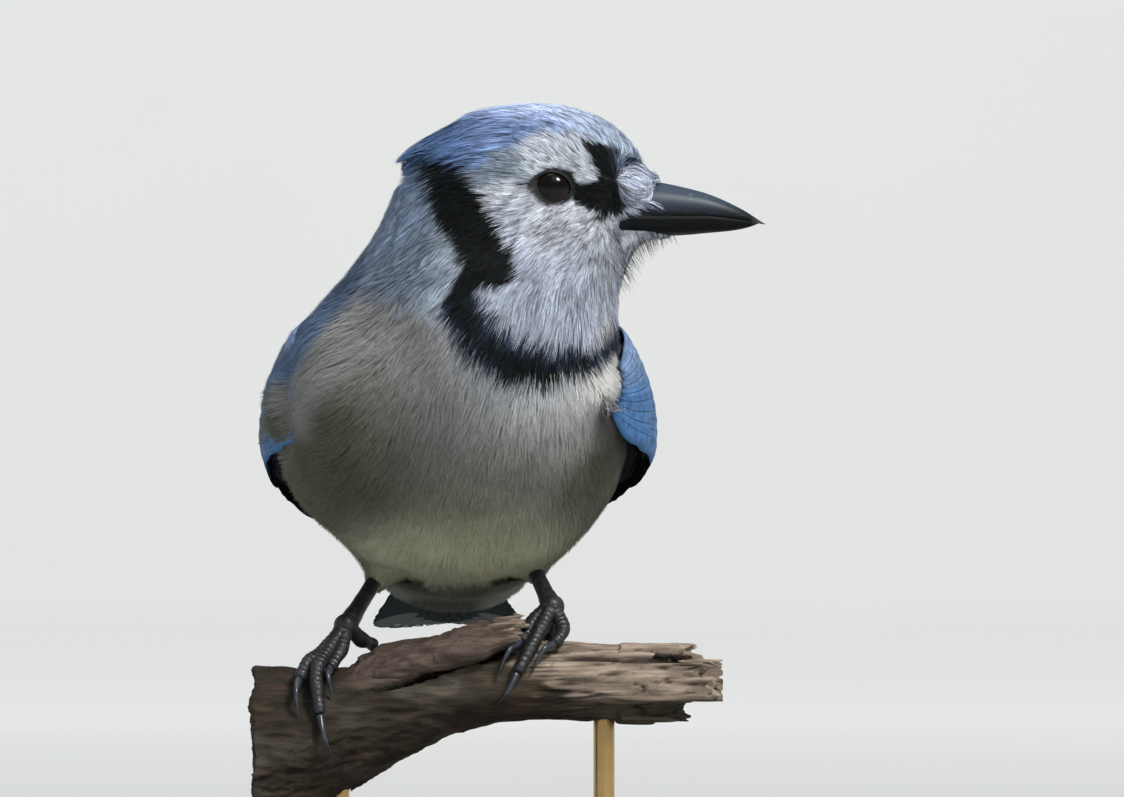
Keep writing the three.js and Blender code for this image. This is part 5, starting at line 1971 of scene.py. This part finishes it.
# Splinters of the stub: middle, length along the grain, and thickness
SPLINTERS = [
    ((10.5, -2, 3.4), 9, 1.5), ((11.5, 0.6, 2.2), 8, 1.8), ((12.4, -3, 1.0), 6, 1.4),
    ((9, -3.6, 2.4), 7, 1.3), ((12.2, 2.2, 0.6), 6, 1.6),
]


# Bare wood is painted dark on its underside as painted shade, and pale on top where it is lit
BARE_WOOD_SHADED_AND_LIT = (np.array((0.042, 0.035, 0.025)), np.array((0.24, 0.19, 0.15)))  # from below, and from above


def over_split(x, z):
    """How high each place lies over the split's line"""
    return z - np.interp(x, *np.array(SPLIT_LINE).T)


def bark_colour(places, along_grain):
    """Brown bark by the cut end, reddish under the split, and pale bare wood towards the broken end"""
    x, _, z = places.T
    patches = Wander(71, 13, (1.6, 1, 1))(places)
    small = Wander(72, 4.5, (1.8, 1, 1))(places)
    up = (z - perch_middle(x)) / perch_radius(x)
    colour = np.tile((0.034, 0.028, 0.02), (len(places), 1))
    colour = over(colour, smooth(patches + small * 0.4, 0.1, 0.8), (0.062, 0.054, 0.042))
    colour = over(colour, smooth(small - patches * 0.5, 0.35, 0.9) * 0.6, (0.06, 0.04, 0.026))
    lit = smooth(x, -14, 8) * smooth(up, -0.6, 0.4)
    colour = colour * lerp(0.68, 1.3, lit)[:, None]
    layer = smooth(over_split(x, z), 0.2, 0.7) * smooth(x, -21, -16) * smooth(x, 17, 14)
    colour = over(colour, layer * 0.85, (0.088, 0.064, 0.053))
    edge = x + 3.0 * small + 2.0 * along_grain + 7 * np.clip(up, -1, 1)
    wood = smooth(edge, 18, 24)
    # painted shade: the bare wood is painted dark where it faces down
    pale = lerp(*BARE_WOOD_SHADED_AND_LIT, smooth(up, -0.55, -0.25)[:, None])
    pale = pale * (1 + 0.3 * along_grain + 0.12 * small)[:, None]
    return lerp(colour, pale, wood[:, None])


def add_slab(low, high, turn=0.0):
    """A block of wood between two corners, or turned about its middle"""
    low, high = np.array(low, float), np.array(high, float)
    bpy.ops.mesh.primitive_cube_add(size=1, location=metres((low + high) / 2), rotation=(0, turn, 0))
    slab = bpy.context.object
    slab.scale = (high - low) * MM
    settle(slab)
    return slab


def broken_parts():
    """The strips of the broken end, and the splinters of the stub, before they are worn"""
    parts = []
    for (low, high), strips in BROKEN_LAYERS:
        for near, far, end in strips:
            parts.append(add_slab((33, near, low), (end, far, high)))
    for middle, length, thick in SPLINTERS:
        half = np.array((length, thick, thick)) / 2
        parts.append(add_slab(np.array(middle) - half, np.array(middle) + half, math.radians(-14)))
    return parts


def perch_relief(places):
    """How far weather and breaks raise each place of the wood, its fibres, and its light in the cracks"""
    x, y, z = places.T
    fibres = Wander(73, 1.1, (13, 1, 1))(places)
    ridges = Wander(74, 3.4, (7, 1, 1))(places)
    lumps = Wander(75, 12, (1.5, 1, 1))(places)
    flakes = 0.5 - np.abs(Wander(77, 4.2, (2.4, 1, 1))(places))
    bare_wood = smooth(x, 12, 24)
    cracks = np.maximum(0.35 - np.abs(ridges), 0) / 0.35
    raised = 0.16 * fibres + lerp(0.42 * flakes, -0.9 * cracks**2, bare_wood)
    raised = raised + lerp(0.35, 0.1, bare_wood) * lumps
    high = over_split(x, z) - 0.12 * fibres
    stub = smooth(x, -20, -14) * smooth(x, 16, 14.5)
    in_split = smooth(np.abs(high), 0.62, 0.2) * smooth(x, -16, -6) * smooth(x, 15, 13) * (y < -1)
    raised = raised + 0.55 * smooth(high, 0.2, 0.8) * smooth(high, 7, 4) * stub * (y < 0)
    in_gap = smooth(np.abs(z + 3.4 - 0.1 * ridges), 0.7, 0.25) * smooth(x, 21, 25) * (y < -1) * (x < 46)
    raised = raised - 2.4 * in_split - 1.1 * in_gap
    under = smooth((z - perch_middle(x)) / perch_radius(x), -0.2, -0.7)
    light = (1 - 0.85 * np.maximum(in_split, in_gap)) * (1 - 0.6 * bare_wood * cracks**2)
    return raised * lerp(1, 0.55, under), fibres, light


def off_feet(places):
    """How far each place is from the nearest joint of the feet"""
    grips = [place for foot in FEET.values() for digit in DIGITS for place in foot[digit]]
    joints = [np.array(on_perch(*grip)) for grip in grips]
    return np.min([np.linalg.norm(places - joint, axis=1) for joint in joints], axis=0)


def add_perch():
    """A fine skin over the perch's form, worn into fibres, ledges, splinters and a split"""
    trunk = trimmed(copied("perch_wood", ("perch",), 0.0), (39.5, 0, -8), (1, 0, 0))
    perch = joined("perch_wood", [trunk, *broken_parts()])
    cell = 0.4
    apply(perch, "REMESH", mode="VOXEL", voxel_size=cell * MM)
    apply(perch, "SMOOTH", factor=0.5, iterations=2)
    mesh = perch.data
    places = millimetres(corners(mesh))
    out = read(mesh.vertices, "normal", 3)
    x, _, z = places.T
    raised, fibres, light = perch_relief(places)
    raised = np.where(raised > 0, raised * smooth(off_feet(places), 1.5, 5), raised)
    torn = smooth(x, 40, 46) + smooth(x, 8, 11) * (z > 0) * (x < 20)
    places = places + out * raised[:, None]
    places[:, 0] += torn * (1.5 * Wander(76, 2.0, (40, 1, 1))(places) - 0.5)
    places[:, 0] = np.minimum(places[:, 0], BROKEN_END)
    move_corners(mesh, metres(places))
    smooth_shade(perch)
    # stored with painted light and shade: lit on top, dark under the bare wood and in the cracks
    paint_corners(mesh, "bark", np.clip(bark_colour(places, fibres) * light[:, None], 0.004, 1))
    finish(perch, perch_finish(), "wood", "perch")


def add_stand():
    """An oval base with a moulded edge, and two brass posts with collars where they enter it"""
    low, high, middle = low_high_middle(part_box("stand_base"))
    deselect()
    bpy.ops.mesh.primitive_cylinder_add(vertices=128, radius=0.5, depth=1, location=middle)
    plinth = bpy.context.object
    plinth.name = "stand_plinth"
    plinth.scale = high - low
    settle(plinth)
    mode("EDIT")
    bpy.ops.mesh.select_mode(type="FACE")
    choose_faces(plinth, lambda face: face.normal.z > 0.9)
    bpy.ops.mesh.inset(thickness=4.5 * MM, depth=0)
    mode("OBJECT")
    mould(plinth, low, high)
    smooth_shade(plinth)
    bpy.ops.object.shade_smooth_by_angle(angle=math.radians(32))
    finish(plinth, plinth_finish(), "base", "stand_base")
    brass = brass_finish()
    for number in (1, 2):
        add_post(number, high[2], brass)


def low_high_middle(box):
    """The lowest and the highest corner of a CAD node's box, and its middle"""
    low, high = (np.array(corner) for corner in box)
    return low, high, (low + high) / 2


def choose_faces(piece, wanted):
    """Selects the faces that are wanted, in edit mode"""
    mode("OBJECT")
    for face in piece.data.polygons:
        face.select = bool(wanted(face))
    mode("EDIT")


def mould(plinth, low, high):
    """Rounds the plinth's upper edge into a small cove above a bead"""
    mesh = plinth.data
    places = corners(mesh)
    middle = (low + high)[:2] / 2
    radii = (high - low)[:2] / 2
    reach = np.hypot(*((places[:, :2] - middle) / radii).T)
    rim = (places[:, 2] > high[2] - 0.01 * MM) & (reach > 0.995)
    places[rim, 2] -= 5.2 * MM
    move_corners(mesh, places)
    corner_angle = math.radians(20)
    apply(plinth, "BEVEL", width=1.6 * MM, segments=5, limit_method="ANGLE", angle_limit=corner_angle)


def add_post(number, base_top, brass):
    low, high, middle = low_high_middle(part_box(f"stand_rod_{number}"))
    radius = (high[0] - low[0]) / 2
    collar_height = 2.2 * MM
    deselect()
    bpy.ops.mesh.primitive_cylinder_add(
        vertices=48, radius=radius, depth=high[2] - low[2], location=middle
    )
    post = bpy.context.object
    post.name = f"stand_post_{number}"
    settle(post)
    apply(post, "BEVEL", width=0.3 * MM, segments=3)
    collar_middle = (middle[0], middle[1], base_top + collar_height / 2)
    bpy.ops.mesh.primitive_cylinder_add(
        vertices=64, radius=radius * 2.1, depth=collar_height, location=collar_middle
    )
    collar = bpy.context.object
    settle(collar)
    choose_faces(collar, lambda face: face.normal.z > 0.9)
    bpy.ops.mesh.inset(thickness=radius * 0.55, depth=0)
    bpy.ops.mesh.extrude_region_move(TRANSFORM_OT_translate={"value": (0, 0, 1.2 * MM)})
    bpy.ops.transform.resize(value=(0.9, 0.9, 1))
    mode("OBJECT")
    apply(collar, "BEVEL", width=0.4 * MM, segments=4)
    post = joined(f"stand_post_{number}", [post, collar])
    smooth_shade(post)
    bpy.ops.object.shade_smooth_by_angle(angle=math.radians(35))
    finish(post, brass, "rod", f"stand_rod_{number}")


add_camera()
add_studio()
bpy.context.scene.view_settings.view_transform = "Standard"
skin = add_coat(add_skin())
dress_crest(skin)
add_bristles(skin)
vane_finishes = (vane_finish("wing_vane_upper"), vane_finish("wing_vane_under", underside=True))
for side, name in ((1, "left"), (-1, "right")):
    add_wing(side, name, vane_finishes)
add_tail(vane_finishes)
add_bill()
for side, name in ((1, "left"), (-1, "right")):
    add_eye(side, name)
for name in FEET:
    add_foot(name)
add_perch()
add_stand()
